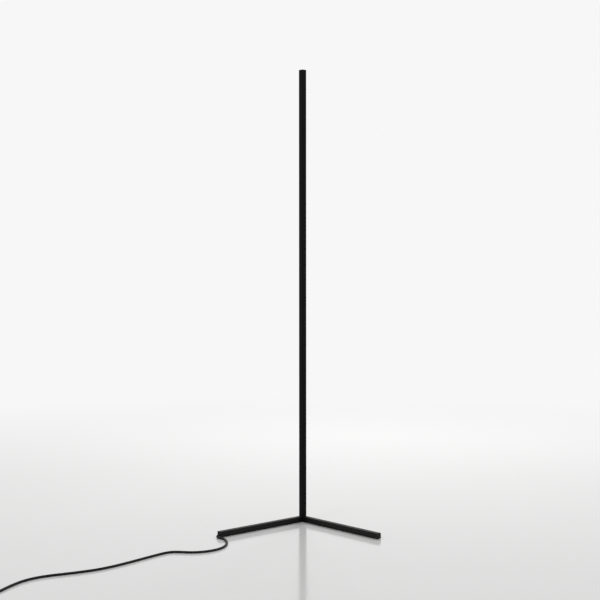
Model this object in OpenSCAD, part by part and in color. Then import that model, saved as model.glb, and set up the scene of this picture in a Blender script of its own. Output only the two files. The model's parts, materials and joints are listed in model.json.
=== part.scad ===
// Corner floor lamp. Millimetres, +Z up. The origin lies on the floor under the pole's axis;
// the base opens towards -Y and the light shines towards +Y, into the corner of a room.

/* [Pole] */
// Height from the floor to the top of the cap
lamp_h = 1400; // [900:10:1600]
// Side of the square base bars and of the pole's two walls
bar_w = 16; // [15.5:0.5:20]
// Thickness of the pole's two outer walls
wall_t = 1.2; // [1:0.1:1.4]
// Radius of the pole's front edge
edge_r = 1; // [0.4:0.1:1.5]
// Depth of the light strip's seat below the open side
seat_depth = 3; // [2.6:0.1:3.2]
// Thickness of the web that carries the strip
web_t = 1.4; // [1.3:0.1:1.6]
// Reach of the snap lips and ribs from the walls
lip_h = 0.7; // [0.5:0.1:0.8]
// Width of each snap lip and rib
lip_w = 0.8; // [0.6:0.1:1]
// Thickness of the cap's plate
cap_t = 2; // [1.5:0.5:4]
// Depth of the cap's plug in the pole
cap_plug_l = 10; // [6:1:20]
// Joint line left between two lengths of the pole
seam_gap = 0.1; // [0.1:0.05:0.4]

/* [Diffuser] */
// Wall of the diffuser
diffuser_t = 1.2; // [1:0.1:1.4]
// How far the diffuser's crown stands out of the pole's open side
diffuser_crown = 3.2; // [2.8:0.1:4]
// Width of the snap foot
foot_w = 1.1; // [0.9:0.1:1.2]
// Gap between the diffuser's edge and the pole's lip
crown_edge_gap = 0.6; // [0.5:0.1:0.8]

/* [Light strip] */
// Width of the flexible board
board_w = 10; // [8:0.5:11]
// Thickness of the flexible board
board_t = 0.35; // [0.2:0.05:0.5]
// Side of one light chip
chip_w = 5; // [3:0.5:6]
// Height of one light chip
chip_h = 1.6; // [1:0.1:2]
// Distance between light chips
chip_pitch = 16.5; // [12:0.5:40]
// Width of the strip's connectors
link_w = 8; // [6:0.5:9]
// Thickness of the strip's connectors
link_t = 2.4; // [2:0.1:2.8]
// Length of each half of a strip connector
link_l = 7; // [5:0.5:10]
// Length of the lead's own connector at the foot
strip_plug_l = 9; // [6:0.5:14]
// Free space below the lead's connector
strip_plug_z = 18; // [12:1:24]

/* [Splices] */
// Length of a splice bar
splice_l = 70; // [60:2:100]
// Length of the anchor bar in the foot of the pole
anchor_l = 56; // [56:2:80]
// Height of the anchor bar's first screw above its foot
anchor_first = 24; // [22:1:28]
// Distance between the anchor bar's two screws
anchor_step = 20; // [12:1:24]
// Thread diameter of the bar screws and the pole bolt
screw_d = 3; // [2.5:0.1:3]
// Head diameter of the countersunk bar screws
screw_head_d = 5.6; // [5:0.1:6]
// Length of a bar screw
screw_l = 4.2; // [3.6:0.1:4.4]
// First bar screw's distance from the end of its length
screw_first = 12; // [10:1:14]
// Second bar screw's distance from the end of its length
screw_second = 27; // [22:1:28]

/* [Base] */
// Length of each base bar along its outer face
leg_len = 340; // [250:5:420]
// Wall of the base tubes
leg_wall = 1.2; // [1:0.1:1.5]
// Edge radius of the base bars
leg_edge_r = 0.8; // [0.4:0.1:1.2]
// Length of the corner block's arms beyond the pole
arm_l = 20; // [16:1:40]
// Length of the spigots in the tubes
spigot_l = 22; // [20:1:40]
// Thickness of the end caps' faces
end_cap_t = 1.5; // [1:0.1:3]
// Depth of the end caps' plugs
end_plug_l = 8; // [6:0.5:16]
// Wall of the end caps' plugs
end_plug_wall = 1.4; // [1:0.1:2]
// Thickness of the foot pads
pad_t = 1.2; // [1:0.1:3]
// Width of the foot pads under the tubes
pad_w = 12; // [8:0.5:14]
// Length of the foot pads under the tubes
pad_l = 30; // [16:1:60]
// Distance of the foot pads from the end caps
pad_end_gap = 4; // [0:1:20]
// Side of the corner's foot pad
corner_pad_w = 8.5; // [7.5:0.1:8.9]
// Head diameter of the screws under the tubes
leg_screw_head_d = 6; // [5.5:0.1:7]
// Head height of the screws under the tubes
leg_screw_head_h = 1.7; // [1.5:0.1:2]
// Length of the screws under the tubes
leg_screw_l = 5.2; // [4:0.1:5.4]
// First screw's distance from the end of its tube
leg_screw_first = 6; // [4:0.5:7]
// Distance between the two screws under a tube
leg_screw_step = 10; // [8:0.5:10]
// Head diameter of the pole bolt
bolt_head_d = 5.5; // [5:0.1:6]
// Head height of the pole bolt
bolt_head_h = 3; // [2:0.1:3.4]
// Length of the pole bolt's thread in the anchor bar
bolt_grip = 13; // [8:1:16]

/* [Wiring] */
// Diameter of the lead inside the lamp
lead_d = 3; // [2:0.1:3.2]
// Diameter of the lead's passage in the corner block
lead_bore = 4.4; // [4:0.1:4.6]
// Bend radius of the lead in the corner block
lead_bend = 6; // [5:0.5:6.5]

/* [Cord] */
// Diameter of the cord
cord_d = 6.4; // [5.8:0.1:6.6]
// Height of the cord's exit above the underside of the bar
exit_h = 4.5; // [4.4:0.1:6]
// Diameter of the strain relief at the bar
relief_d = 7.4; // [7.2:0.1:7.6]
// Diameter of the strain relief at its tip
relief_tip_d = 7; // [6.8:0.1:7.2]
// Bend radius of the strain relief
relief_bend = 11; // [8:1:14]
// Straight stretch of the strain relief after its bend
relief_straight = 24; // [15:1:30]
// Distance between two turns of the coil
coil_pitch = 6.9; // [6.85:0.05:7.2]
// Radius of the coil's innermost turn
coil_inner_r = 26; // [25:0.5:28]
// Thickness of the tie round the coil
tie_t = 0.6; // [0.4:0.1:1.2]
// Width of the tie
tie_w = 8; // [4:0.5:12]

/* [Controller] */
// Length of the in-line controller
ctl_l = 78; // [70:1:100]
// Width of the controller
ctl_w = 24; // [22:0.5:32]
// Height of the controller
ctl_h = 12; // [11.5:0.5:16]
// Height of the joint between its two shells
ctl_split = 5.5; // [5:0.1:6]
// Wall of the controller's shells
ctl_wall = 1.6; // [1.2:0.1:2]
// Corner radius of the controller
ctl_r = 3; // [2:0.5:5]
// Edge chamfer of the controller
ctl_chamfer = 1; // [0.4:0.1:1.4]
// Diameter of a push button
button_d = 9; // [7:0.5:10]
// Distance between push buttons
button_pitch = 15; // [13:0.5:18]
// Height of a push button above the shell
button_proud = 0.9; // [0.7:0.1:1.6]
// Travel of a push button
button_travel = 0.6; // [0.3:0.1:0.6]
// Diameter of the indicator window
window_d = 4; // [3:0.5:5]

/* [Adapter] */
// Length of the power adapter
adapter_l = 75; // [60:1:100]
// Width of the power adapter
adapter_w = 44; // [36:1:60]
// Height of the power adapter without its pins
adapter_h = 28; // [26:1:40]
// Height of the joint between its two shells
adapter_split = 17.5; // [16:0.5:20]
// Wall of the adapter's shells
adapter_wall = 2; // [1.5:0.1:3]
// Corner radius of the adapter
adapter_r = 5; // [3:0.5:8]
// Edge chamfer of the adapter
adapter_chamfer = 1.6; // [0.6:0.1:1.9]
// Diameter of the mains pins
pin_d = 4; // [3.5:0.1:5]
// Free length of the mains pins
pin_l = 19; // [15:1:22]
// Distance between the mains pins
pin_pitch = 19; // [15:1:22]

/* [Hidden] */
$fn = 48;

// Clearances
fit_gap = 0.1;       // round a snapped or screwed piece
slide_gap = 0.2;     // round a spigot or plug pushed into a tube
button_gap = 0.3;    // round a push button
tie_gap = 0.5;       // beside the turns of the coil, which curve inside the tie
tie_seat = 0.15;     // above and below the turns of the coil
cut = 1;             // overshoot of a cutting body
sink = 0.5;          // how far joined shapes of one piece run into each other

root2 = sqrt(2);
half_diag = bar_w / root2;
base_top = pad_t + bar_w;
pole_top = lamp_h - cap_t;
section_l = (pole_top - base_top) / 3;
seams = [base_top + section_l, base_top + 2 * section_l];
LOWER = 0;
MIDDLE = 1;
UPPER = 2;

// Pole section: u runs along a wall from the front edge, v inwards from its outer face
function wall_pt(u, v) = [(u - v) / root2, -half_diag + (u + v) / root2];
function flip_x(points) = [for (i = [len(points) - 1:-1:0]) [-points[i].x, points[i].y]];
lip_reach = wall_t + lip_h;
groove_top = bar_w - lip_w;
groove_bottom = groove_top - foot_w - 2 * fit_gap;
seat_y = -seat_depth;
duct_y = seat_y - web_t;
duct_apex = -half_diag + wall_t * root2;
bar_apex = duct_apex + fit_gap * root2;
bar_y = duct_y - fit_gap;
bar_half_w = bar_y - bar_apex;
bar_tip = 0.4;       // flat on each corner of the bars in the duct
// Centre of the largest circle in the bars' triangle
bolt_y = bar_y - bar_half_w * (root2 - 1);
crown_half_w = wall_pt(groove_top, lip_reach).x;
crown_rise = diffuser_crown - wall_pt(groove_top, lip_reach).y;
crown_r = (pow(crown_half_w, 2) + pow(crown_rise, 2)) / (2 * crown_rise);
crown_y = diffuser_crown - crown_r;

// Screws in the splice bars and the anchor bar
screw_r = screw_d / 2 - fit_gap;
thread_r = screw_d / 2;
anchor_screws = [base_top + anchor_first, base_top + anchor_first + anchor_step];
splice_screws = [for (z = seams, d = [-screw_second, -screw_first, screw_first, screw_second]) z + d];
bar_screw_heights = concat(anchor_screws, splice_screws);
socket_r = 1;
socket_depth = 0.8;

// Light strip
plug_bottom = base_top + strip_plug_z;
board_start = [plug_bottom + strip_plug_l, seams[0] + link_l, seams[1] + link_l];
board_end = [seams[0] - link_l, seams[1] - link_l, pole_top - cap_plug_l];

// Base: x runs along the left bar from the pole's axis, y towards the inside of the base
tube_start = bar_w / 2 + arm_l;
bar_end = leg_len - bar_w / 2;
tube_end = bar_end - end_cap_t;
tube_in = bar_w - 2 * leg_wall;
spigot_w = tube_in - 2 * slide_gap;
mid_h = pad_t + bar_w / 2;
exit_z = pad_t + exit_h;
leg_screw_x = [tube_start + leg_screw_first, tube_start + leg_screw_first + leg_screw_step];
pad_inset = 1;
bolt_seat_z = pad_t + bolt_head_h + slide_gap;
bolt_socket_r = 1.4;
bolt_socket_depth = 1.6;

// Strain relief, drawn flat in the left bar's frame and then placed in the lamp's frame
cord_r = cord_d / 2;
cord_sides = 10;
coil_sides = 6;
relief_sides = 12;
run_step = 13;
link_step = 8;
relief_start = 1;
relief_tip_z = relief_tip_d / 2 + slide_gap;
relief_steps = 8;
relief_neck = 0.4;
relief_block_w = 8;
relief_block_l = 4;
relief_block_bottom = pad_t + leg_wall + fit_gap;
function to_lamp(p) = [(p.y - p.x) / root2, -(p.x + p.y) / root2, p.z];
relief_inside = [[tube_end - 1, 0], [tube_end, 0], [tube_end + relief_neck, 0]];
relief_arc = [for (i = [0:relief_steps]) let (a = 90 * i / relief_steps)
    [bar_end + relief_start + relief_bend * sin(a), relief_bend * (1 - cos(a))]];
relief_tail = [for (i = [1:3])
    [bar_end + relief_start + relief_bend, relief_bend + relief_straight * i / 3]];
relief_flat = concat(relief_inside, [[bar_end, 0]], relief_arc, relief_tail);
relief_last = len(relief_flat) - 1;
// Share of the way from the end cap's face to the tip
function relief_share(i) = max(0, i - len(relief_inside)) / (relief_last - len(relief_inside));
relief_path = [for (i = [0:relief_last])
    to_lamp([relief_flat[i].x, relief_flat[i].y, exit_z + (relief_tip_z - exit_z) * relief_share(i)])];
relief_radii = [for (i = [0:relief_last]) i < len(relief_inside) - 1 ? exit_z - relief_block_bottom
    : (relief_d + (relief_tip_d - relief_d) * relief_share(i)) / 2];
relief_tip = relief_path[relief_last];
relief_heading = [1, -1, 0] / root2;
lead_heading = -[1, 1, 0] / root2;

// Lead in the left bar's frame: from the relief's block down to the tube's floor, up to the
// passage in the corner block and round its bend to the strip's plug
lead_rise_x = 2;
lead_straight = 2;
lead_slope_l = 20;
lead_arc_steps = 6;
lead_floor_z = pad_t + leg_wall + lead_d / 2 + fit_gap;
lead_from = tube_end - relief_block_l;
passage_start = tube_start + spigot_l;
lead_arc = [for (i = [0:lead_arc_steps]) let (a = 90 * i / lead_arc_steps)
    [lead_rise_x + lead_bend * (1 - sin(a)), 0, mid_h + lead_bend * (1 - cos(a))]];
lead_path = concat(
    [[lead_from, 0, exit_z], [lead_from - lead_straight, 0, exit_z],
     [lead_from - lead_straight - lead_slope_l, 0, lead_floor_z],
     [passage_start + lead_straight + lead_slope_l, 0, lead_floor_z],
     [passage_start + lead_straight, 0, mid_h]],
    lead_arc, [[lead_rise_x, 0, plug_bottom]]);

// Route of the cord on the floor, from the strain relief to the controller, where it rises
rise_z = cord_r + 1.25;
cord_route = [
    [-212, -280, cord_r], [-205, -305, cord_r], [-202, -331, cord_r], [-204, -357, cord_r],
    [-211, -381, cord_r], [-224, -403, cord_r], [-243, -421, cord_r], [-266, -433, cord_r],
    [-292, -438, cord_r], [-319, -435, cord_r], [-342, -436, cord_r], [-359, -447, cord_r],
    [-376, -468, cord_r], [-406, -510, cord_r], [-440, -559, cord_r], [-475, -605, cord_r],
    [-511, -642, cord_r], [-549, -669, cord_r], [-586, -691, cord_r], [-621, -711, cord_r],
    [-650, -735, cord_r], [-672, -765, cord_r], [-687, -801, cord_r], [-698, -838, cord_r],
    [-708, -874, cord_r], [-719, -890, cord_r], [-739, -898, cord_r], [-759, -891, cord_r],
    [-770, -876, rise_z]
];

// Controller: its axis runs along +Y
ctl_x = -772;
ctl_y = -848;
ctl_relief_l = 10;
ctl_cord_z = ctl_split;
ctl_in = [ctl_x, ctl_y - ctl_relief_l, ctl_cord_z];
ctl_out = [ctl_x, ctl_y + ctl_l + ctl_relief_l, ctl_cord_z];
ctl_ceiling = ctl_h - ctl_wall;
ctl_mid = ctl_l / 2;
button_y = [for (i = [-1:1]) ctl_mid + i * button_pitch];
button_edge = 0.4;
window_gap = 5;
window_y = button_y[0] - button_d / 2 - window_gap - window_d / 2;
flange_t = 0.8;
flange_reach = 0.8;
ctl_board_gap = 0.5;
ctl_board_t = 1.2;
ctl_board_top = ctl_split + 1;
ctl_post_r = 1.6;
ctl_post_y = 19;
ctl_chip = [10, 12, 1.2];
ctl_choke = [6, 5, 1.6];
dome_r = 3;
dome_h = 0.5;
stem_r = 1.5;
stem_bottom = ctl_board_top + dome_h + button_travel + fit_gap;
ctl_boss_r = 2.4;
ctl_screw_x = ctl_w / 2 - ctl_wall - ctl_boss_r + sink;
ctl_screw_inset = 10;
ctl_screw_y = [ctl_screw_inset, ctl_l - ctl_screw_inset];
ctl_screw_r = 1;
ctl_screw_head_r = 1.9;
ctl_screw_head_h = 1.2;
ctl_socket_r = 0.8;
ctl_socket_depth = 0.7;
collar_l = 2;
collar_reach = 0.4;
neck_wall = 0.5;

// Coil: turns spiral in on the floor, climb in half a turn and spiral out on top
coil_turns = 4.5;
coil_steps = 24;
coil_mid_angle = coil_turns * 180;
coil_outer_r = coil_inner_r + coil_pitch * coil_turns / 2;
coil_straight = cord_d + sink;
coil_z = tie_t + tie_seat + cord_r;
coil_top_z = coil_z + coil_pitch;
coil_x = ctl_x - coil_outer_r;
coil_y = -716;
function smooth(t) = let (s = min(1, max(0, t))) s * s * (3 - 2 * s);
function coil_pt(a) = let (r = coil_inner_r + coil_pitch * abs(a - coil_mid_angle) / 360)
    [coil_x + r * cos(a), coil_y + r * sin(a),
     coil_z + coil_pitch * smooth((a - coil_mid_angle + 90) / 180)];
coil_path = concat(
    [[coil_x + coil_outer_r, coil_y - coil_straight, coil_z]],
    [for (i = [0:coil_turns * coil_steps]) coil_pt(i * 360 / coil_steps)],
    [[coil_x - coil_outer_r, coil_y - coil_straight, coil_top_z]]);
// Height of the link, which sinks from the controller to the coil
function link_z(share) = ctl_cord_z + (coil_z - ctl_cord_z) * share;
link_route = [[ctl_x, -750, link_z(0.3)], [ctl_x, -738, link_z(0.8)], [ctl_x, -729, coil_z]];
cord_stops = concat([relief_tip], cord_route, [ctl_in]);
link_stops = concat([ctl_out], link_route, [coil_path[0]]);

// Adapter: lies face down with its pins up, its cord entering the end at +Y
adapter_x = coil_x - coil_outer_r;
adapter_relief_l = 28;
adapter_y = coil_y - coil_straight - adapter_relief_l - adapter_l;
adapter_neck_wall = 1;
adapter_collar_l = 3;
adapter_lip = 1.5;
adapter_lip_t = 1;
pin_y = 30;
pin_flange_reach = 1.5;
pin_flange_t = 2;
pin_tip = 1;
adapter_board_t = 1.6;
adapter_board_top = adapter_split - adapter_lip - 1;
adapter_board_inset = adapter_wall + 1.5;
adapter_board_room = 6;
adapter_post_r = 2;
adapter_post_inset = 4;
transformer = [22, 20];

// Colours
black_metal = [0.06, 0.06, 0.065];
black_plastic = [0.05, 0.05, 0.055];
cord_black = [0.04, 0.04, 0.042];
rubber_grey = [0.12, 0.12, 0.12];
steel = [0.6, 0.6, 0.62];
milky = [0.9, 0.92, 0.94];
board_white = [0.88, 0.88, 0.86];
board_green = [0.1, 0.32, 0.2];
chip_cream = [0.95, 0.88, 0.6];

// ---------- general shapes ----------

module both_bars() {
    children();
    mirror([1, 0, 0]) children();
}

// Places a shape drawn in the left bar's frame
module on_left_bar() {
    rotate([0, 0, 225]) children();
}

module rounded_square(w, l, r) {
    square([w - 2 * r, l], center = true);
    square([w, l - 2 * r], center = true);
    for (x = [-1, 1], y = [-1, 1])
        translate([x * (w / 2 - r), y * (l / 2 - r)]) circle(r);
}

// A profile drawn as y and z, run along x from x0 to x1
module along_x(x0, x1) {
    translate([x0, 0, 0]) rotate([90, 0, 90]) linear_extrude(x1 - x0) children();
}

// Box with rounded upright corners and chamfered edges above and below; starts at y = 0, z = 0
module case_block(w, l, h, r, chamfer) {
    c = chamfer;
    intersection() {
        translate([0, l / 2, 0]) linear_extrude(h) rounded_square(w, l, r);
        translate([0, l, 0]) rotate([90, 0, 0]) linear_extrude(l)
            polygon([[-w / 2 + c, 0], [w / 2 - c, 0], [w / 2, c], [w / 2, h - c],
                     [w / 2 - c, h], [-w / 2 + c, h], [-w / 2, h - c], [-w / 2, c]]);
        along_x(-w / 2, w / 2)
            polygon([[c, 0], [l - c, 0], [l, c], [l, h - c], [l - c, h], [c, h], [0, h - c], [0, c]]);
    }
}

// Hollow case between two heights, open towards the other half
module case_half(w, l, h, r, chamfer, wall, from_z, to_z) {
    difference() {
        intersection() {
            case_block(w, l, h, r, chamfer);
            translate([-w, -cut, from_z]) cube([2 * w, l + 2 * cut, to_z - from_z]);
        }
        translate([0, wall, wall])
            case_block(w - 2 * wall, l - 2 * wall, h - 2 * wall, r - wall / 2, 0.2);
    }
}

// Hexagon socket in a screw head whose face lies at z = 0
module hex_socket(r, depth) {
    translate([0, 0, -cut]) cylinder(h = cut + depth, r = r, $fn = 6);
}

function unit(v) = v / norm(v);
// A ring of points square to t; facing is any direction that the path never runs along
function ring(p, t, r, sides, facing) = let (side = unit(cross(t, facing)), up = cross(side, t))
    [for (k = [0:sides - 1]) let (a = 360 * (k + 0.5) / sides) p + r * (cos(a) * side + sin(a) * up)];
function headings(path, first, last) = let (n = len(path) - 1)
    [for (i = [0:n]) i == 0 ? first : i == n ? last : unit(path[i + 1] - path[i - 1])];

// One tube swept along a path, with a radius for each point and flat ends
module tube(path, radii, sides, first, last, facing = [0, 0, 1]) {
    n = len(path);
    dirs = headings(path, first, last);
    points = [for (i = [0:n - 1]) each ring(path[i], dirs[i], radii[i], sides, facing)];
    walls = [for (i = [0:n - 2], k = [0:sides - 1]) let (a = i * sides + k,
        b = i * sides + (k + 1) % sides) each [[a, b, a + sides], [b, b + sides, a + sides]]];
    caps = [for (k = [1:sides - 2]) each [[0, k + 1, k],
        [(n - 1) * sides, (n - 1) * sides + k, (n - 1) * sides + k + 1]]];
    polyhedron(points, concat(walls, caps), convexity = 10);
}

// Smooth path through chosen points, with a step of about the given length
function slope(p, i) = (p[i + 1] - p[i - 1]) / (norm(p[i + 1] - p[i]) + norm(p[i] - p[i - 1]));
function between(a, b, sa, sb, t) = let (l = norm(b - a), t2 = t * t, t3 = t2 * t)
    (2 * t3 - 3 * t2 + 1) * a + (t3 - 2 * t2 + t) * l * sa
    + (3 * t2 - 2 * t3) * b + (t3 - t2) * l * sb;
function smooth_path(p, first, last, step) = let (n = len(p) - 1,
    s = [for (i = [0:n]) i == 0 ? first : i == n ? last : slope(p, i)])
    concat([for (i = [0:n - 1]) let (m = max(1, round(norm(p[i + 1] - p[i]) / step)))
        for (k = [0:m - 1]) between(p[i], p[i + 1], s[i], s[i + 1], k / m)], [p[n]]);
function path_length(p, i = 0) = i >= len(p) - 1 ? 0 : norm(p[i + 1] - p[i]) + path_length(p, i + 1);

// A cord through chosen points, kept on the floor where the smooth path would dip into it
module cord_tube(points, first, last, sides, step) {
    path = [for (p = smooth_path(points, first, last, step)) [p.x, p.y, max(p.z, cord_r)]];
    tube(path, [for (p = path) cord_r], sides, first, last);
}

// ---------- pole ----------

module pole_profile() {
    half = [wall_pt(edge_r, 0), wall_pt(bar_w, 0), wall_pt(bar_w, lip_reach),
        wall_pt(groove_top, lip_reach), wall_pt(groove_top, wall_t),
        wall_pt(groove_bottom, wall_t), wall_pt(groove_bottom, lip_reach),
        wall_pt(groove_bottom - lip_w, lip_reach), wall_pt(groove_bottom - lip_w, wall_t),
        [seat_y - duct_apex, seat_y]];
    difference() {
        union() {
            polygon(concat(half, flip_x(half)));
            translate([0, -half_diag + edge_r * root2]) circle(edge_r);
        }
        polygon([[0, duct_apex], [duct_y - duct_apex, duct_y], [duct_apex - duct_y, duct_y]]);
    }
}

// Everything that the pole and diffuser fill, seen from above
module pole_outline() {
    half = [wall_pt(edge_r, 0), wall_pt(bar_w, 0), wall_pt(bar_w, lip_reach)];
    polygon(concat(half, flip_x(half)));
    translate([0, -half_diag + edge_r * root2]) circle(edge_r);
    intersection() {
        translate([0, crown_y]) circle(crown_r, $fn = 120);
        translate([-crown_half_w, 0]) square([2 * crown_half_w, 2 * diffuser_crown]);
    }
}

module bar_profile() {
    side = bar_half_w - bar_tip;
    polygon([[-bar_tip, bar_apex + bar_tip], [bar_tip, bar_apex + bar_tip],
        [side, bar_y - bar_tip], [side, bar_y], [-side, bar_y], [-side, bar_y - bar_tip]]);
}

function section_bottom(i) = base_top + i * section_l + (i == LOWER ? 0 : seam_gap / 2);
function section_top(i) = base_top + (i + 1) * section_l - (i == UPPER ? 0 : seam_gap / 2);

module along_pole(i) {
    translate([0, 0, section_bottom(i)]) linear_extrude(section_top(i) - section_bottom(i)) children();
}

// Countersunk screw, or the hole for it when spare is positive
module bar_screw(z, spare) {
    translate([0, seat_y, z]) rotate([90, 0, 0]) {
        cylinder(h = web_t, r1 = screw_head_d / 2 + spare, r2 = screw_r + spare);
        cylinder(h = screw_l + spare, r = screw_r + spare);
    }
}

module pole_length(i) {
    color(black_metal) difference() {
        along_pole(i) pole_profile();
        for (z = bar_screw_heights)
            if (z > section_bottom(i) && z < section_top(i)) bar_screw(z, fit_gap);
    }
}

// Milky shell with a crown outside and a snap foot in the groove of each wall
module diffuser_profile() {
    foot = [wall_pt(groove_bottom + fit_gap, wall_t + fit_gap),
        wall_pt(groove_top - fit_gap, wall_t + fit_gap),
        wall_pt(groove_top - fit_gap, lip_reach + sink), wall_pt(groove_bottom + fit_gap, lip_reach + sink)];
    edge_x = crown_half_w - crown_edge_gap;
    intersection() {
        translate([0, crown_y]) difference() {
            circle(crown_r, $fn = 120);
            circle(crown_r - diffuser_t, $fn = 120);
        }
        translate([-edge_x, seat_y]) square([2 * edge_x, 2 * bar_w]);
    }
    polygon(foot);
    polygon(flip_x(foot));
}

module diffuser_length(i) {
    color(milky) along_pole(i) diffuser_profile();
}

module led_board(i) {
    color(board_white) translate([-board_w / 2, seat_y, board_start[i]])
        cube([board_w, board_t, board_end[i] - board_start[i]]);
}

module led_chips(i) {
    room = board_end[i] - board_start[i] - 2 * chip_w;
    count = floor(room / chip_pitch) + 1;
    first = board_start[i] + chip_w + (room - (count - 1) * chip_pitch) / 2;
    color(chip_cream) for (k = [0:count - 1])
        translate([-chip_w / 2, seat_y + board_t, first + k * chip_pitch - chip_w / 2])
            cube([chip_w, chip_h, chip_w]);
}

module strip_link(from_z, to_z) {
    translate([-link_w / 2, seat_y, from_z]) cube([link_w, link_t, to_z - from_z]);
}

module link_socket(i) {
    color(board_white) strip_link(seams[i] - link_l, seams[i]);
}

module link_plug(i) {
    color(black_plastic) strip_link(seams[i], seams[i] + link_l);
}

module strip_plug() {
    color(board_white) strip_link(plug_bottom, plug_bottom + strip_plug_l);
}

module splice_bar(i) {
    color(steel) difference() {
        translate([0, 0, seams[i] - splice_l / 2]) linear_extrude(splice_l) bar_profile();
        for (z = splice_screws) bar_screw(z, fit_gap);
    }
}

module anchor_bar() {
    color(steel) difference() {
        translate([0, 0, base_top]) linear_extrude(anchor_l) bar_profile();
        for (z = anchor_screws) bar_screw(z, fit_gap);
        translate([0, bolt_y, base_top - cut]) cylinder(h = bolt_grip + 2 * cut, r = thread_r);
    }
}

module bar_screws() {
    color(steel) for (z = bar_screw_heights) difference() {
        bar_screw(z, 0);
        translate([0, seat_y, z]) rotate([90, 0, 0]) hex_socket(socket_r, socket_depth);
    }
}

module pole_bolt() {
    color(steel) translate([0, bolt_y, bolt_seat_z]) difference() {
        union() {
            translate([0, 0, -bolt_head_h]) cylinder(h = bolt_head_h, r = bolt_head_d / 2);
            cylinder(h = base_top + bolt_grip - bolt_seat_z, r = screw_r);
        }
        translate([0, 0, -bolt_head_h]) hex_socket(bolt_socket_r, bolt_socket_depth);
    }
}

module top_cap() {
    color(black_plastic) {
        translate([0, 0, pole_top]) linear_extrude(cap_t) pole_outline();
        translate([0, 0, pole_top - cap_plug_l]) linear_extrude(cap_plug_l) bar_profile();
    }
}

// ---------- base ----------

module bar_section() {
    translate([0, mid_h]) rounded_square(bar_w, bar_w, leg_edge_r);
}

// The lead's passage: along the left arm, round a bend and up into the pole
module lead_passage(r) {
    translate([lead_rise_x + lead_bend, 0, mid_h]) rotate([0, 90, 0])
        cylinder(h = tube_start + spigot_l, r = r);
    translate([lead_rise_x + lead_bend, 0, mid_h + lead_bend]) rotate([90, 0, 0]) rotate([0, 0, 180])
        rotate_extrude(angle = 90) translate([lead_bend, 0]) circle(r);
    translate([lead_rise_x, 0, mid_h + lead_bend]) cylinder(h = bar_w, r = r);
}

module tube_screw(x, spare) {
    translate([x, 0, pad_t]) {
        cylinder(h = leg_screw_head_h, r1 = leg_screw_head_d / 2 + spare, r2 = screw_r + spare);
        cylinder(h = leg_screw_l + spare, r = screw_r + spare);
    }
}

module block_arm() {
    on_left_bar() {
        intersection() {
            along_x(-bar_w / 2, tube_start) bar_section();
            linear_extrude(base_top) polygon([[-bar_w / 2, -bar_w / 2], [tube_start, -bar_w / 2],
                [tube_start, bar_w / 2], [bar_w / 2, bar_w / 2]]);
        }
        along_x(tube_start, tube_start + spigot_l)
            translate([0, mid_h]) square(spigot_w, center = true);
    }
}

module corner_block() {
    color(black_metal) difference() {
        both_bars() block_arm();
        on_left_bar() lead_passage(lead_bore / 2);
        both_bars() on_left_bar() for (x = leg_screw_x) tube_screw(x, fit_gap);
        translate([0, bolt_y, pad_t - cut])
            cylinder(h = bolt_seat_z - pad_t + cut, r = bolt_head_d / 2 + slide_gap);
        translate([0, bolt_y, 0]) cylinder(h = base_top + cut, r = screw_d / 2 + slide_gap);
    }
}

module base_tube() {
    on_left_bar() difference() {
        along_x(tube_start, tube_end) bar_section();
        along_x(tube_start - cut, tube_end + cut) translate([0, mid_h]) square(tube_in, center = true);
        for (x = leg_screw_x) tube_screw(x, fit_gap);
    }
}

module left_tube() {
    color(black_metal) base_tube();
}

module right_tube() {
    color(black_metal) mirror([1, 0, 0]) base_tube();
}

module tube_screws() {
    color(steel) both_bars() on_left_bar() for (x = leg_screw_x) difference() {
        tube_screw(x, 0);
        translate([x, 0, pad_t]) hex_socket(socket_r, socket_depth);
    }
}

module end_cap() {
    along_x(tube_end, bar_end) bar_section();
    along_x(tube_end - end_plug_l, tube_end) translate([0, mid_h]) difference() {
        square(spigot_w, center = true);
        square(spigot_w - 2 * end_plug_wall, center = true);
    }
}

// The cord's exit: a hole in the cap's face and a notch through the plug behind it
module left_end_cap() {
    color(black_plastic) on_left_bar() difference() {
        end_cap();
        translate([tube_end - cut, 0, exit_z]) rotate([0, 90, 0])
            cylinder(h = end_cap_t + 2 * cut, r = relief_d / 2 + fit_gap);
        translate([tube_end - end_plug_l - cut, -relief_block_w / 2 - slide_gap, 0])
            cube([end_plug_l + cut, relief_block_w + 2 * slide_gap, exit_z]);
    }
}

module right_end_cap() {
    color(black_plastic) mirror([1, 0, 0]) on_left_bar() end_cap();
}

module corner_pad() {
    color(rubber_grey) on_left_bar() translate([pad_inset - bar_w / 2, pad_inset - bar_w / 2, 0])
        cube([corner_pad_w, corner_pad_w, pad_t]);
}

module end_pad() {
    on_left_bar() translate([tube_end - pad_l - pad_end_gap, -pad_w / 2, 0]) cube([pad_l, pad_w, pad_t]);
}

module left_pad() {
    color(rubber_grey) end_pad();
}

module right_pad() {
    color(rubber_grey) mirror([1, 0, 0]) end_pad();
}

// ---------- wiring ----------

// Cable of the light strip, from the strain relief along the bar and up into the pole
module inner_lead() {
    color(rubber_grey) on_left_bar()
        tube(lead_path, [for (p = lead_path) lead_d / 2], 12, [-1, 0, 0], [0, 0, 1], [0, 1, 0]);
}

module strain_relief() {
    color(cord_black) {
        tube(relief_path, relief_radii, relief_sides, lead_heading, relief_heading);
        on_left_bar() translate([lead_from, -relief_block_w / 2, relief_block_bottom])
            cube([relief_block_l, relief_block_w, exit_z + relief_d / 2 - relief_block_bottom]);
    }
}

module cord_run() {
    color(cord_black) cord_tube(cord_stops, relief_heading, [0, 1, 0], cord_sides, run_step);
}

module cord_link() {
    color(cord_black) cord_tube(link_stops, [0, 1, 0], [0, 1, 0], cord_sides, link_step);
}

module cord_coil() {
    color(cord_black) tube(coil_path, [for (p = coil_path) cord_r], coil_sides, [0, 1, 0], [0, -1, 0]);
}

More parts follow.
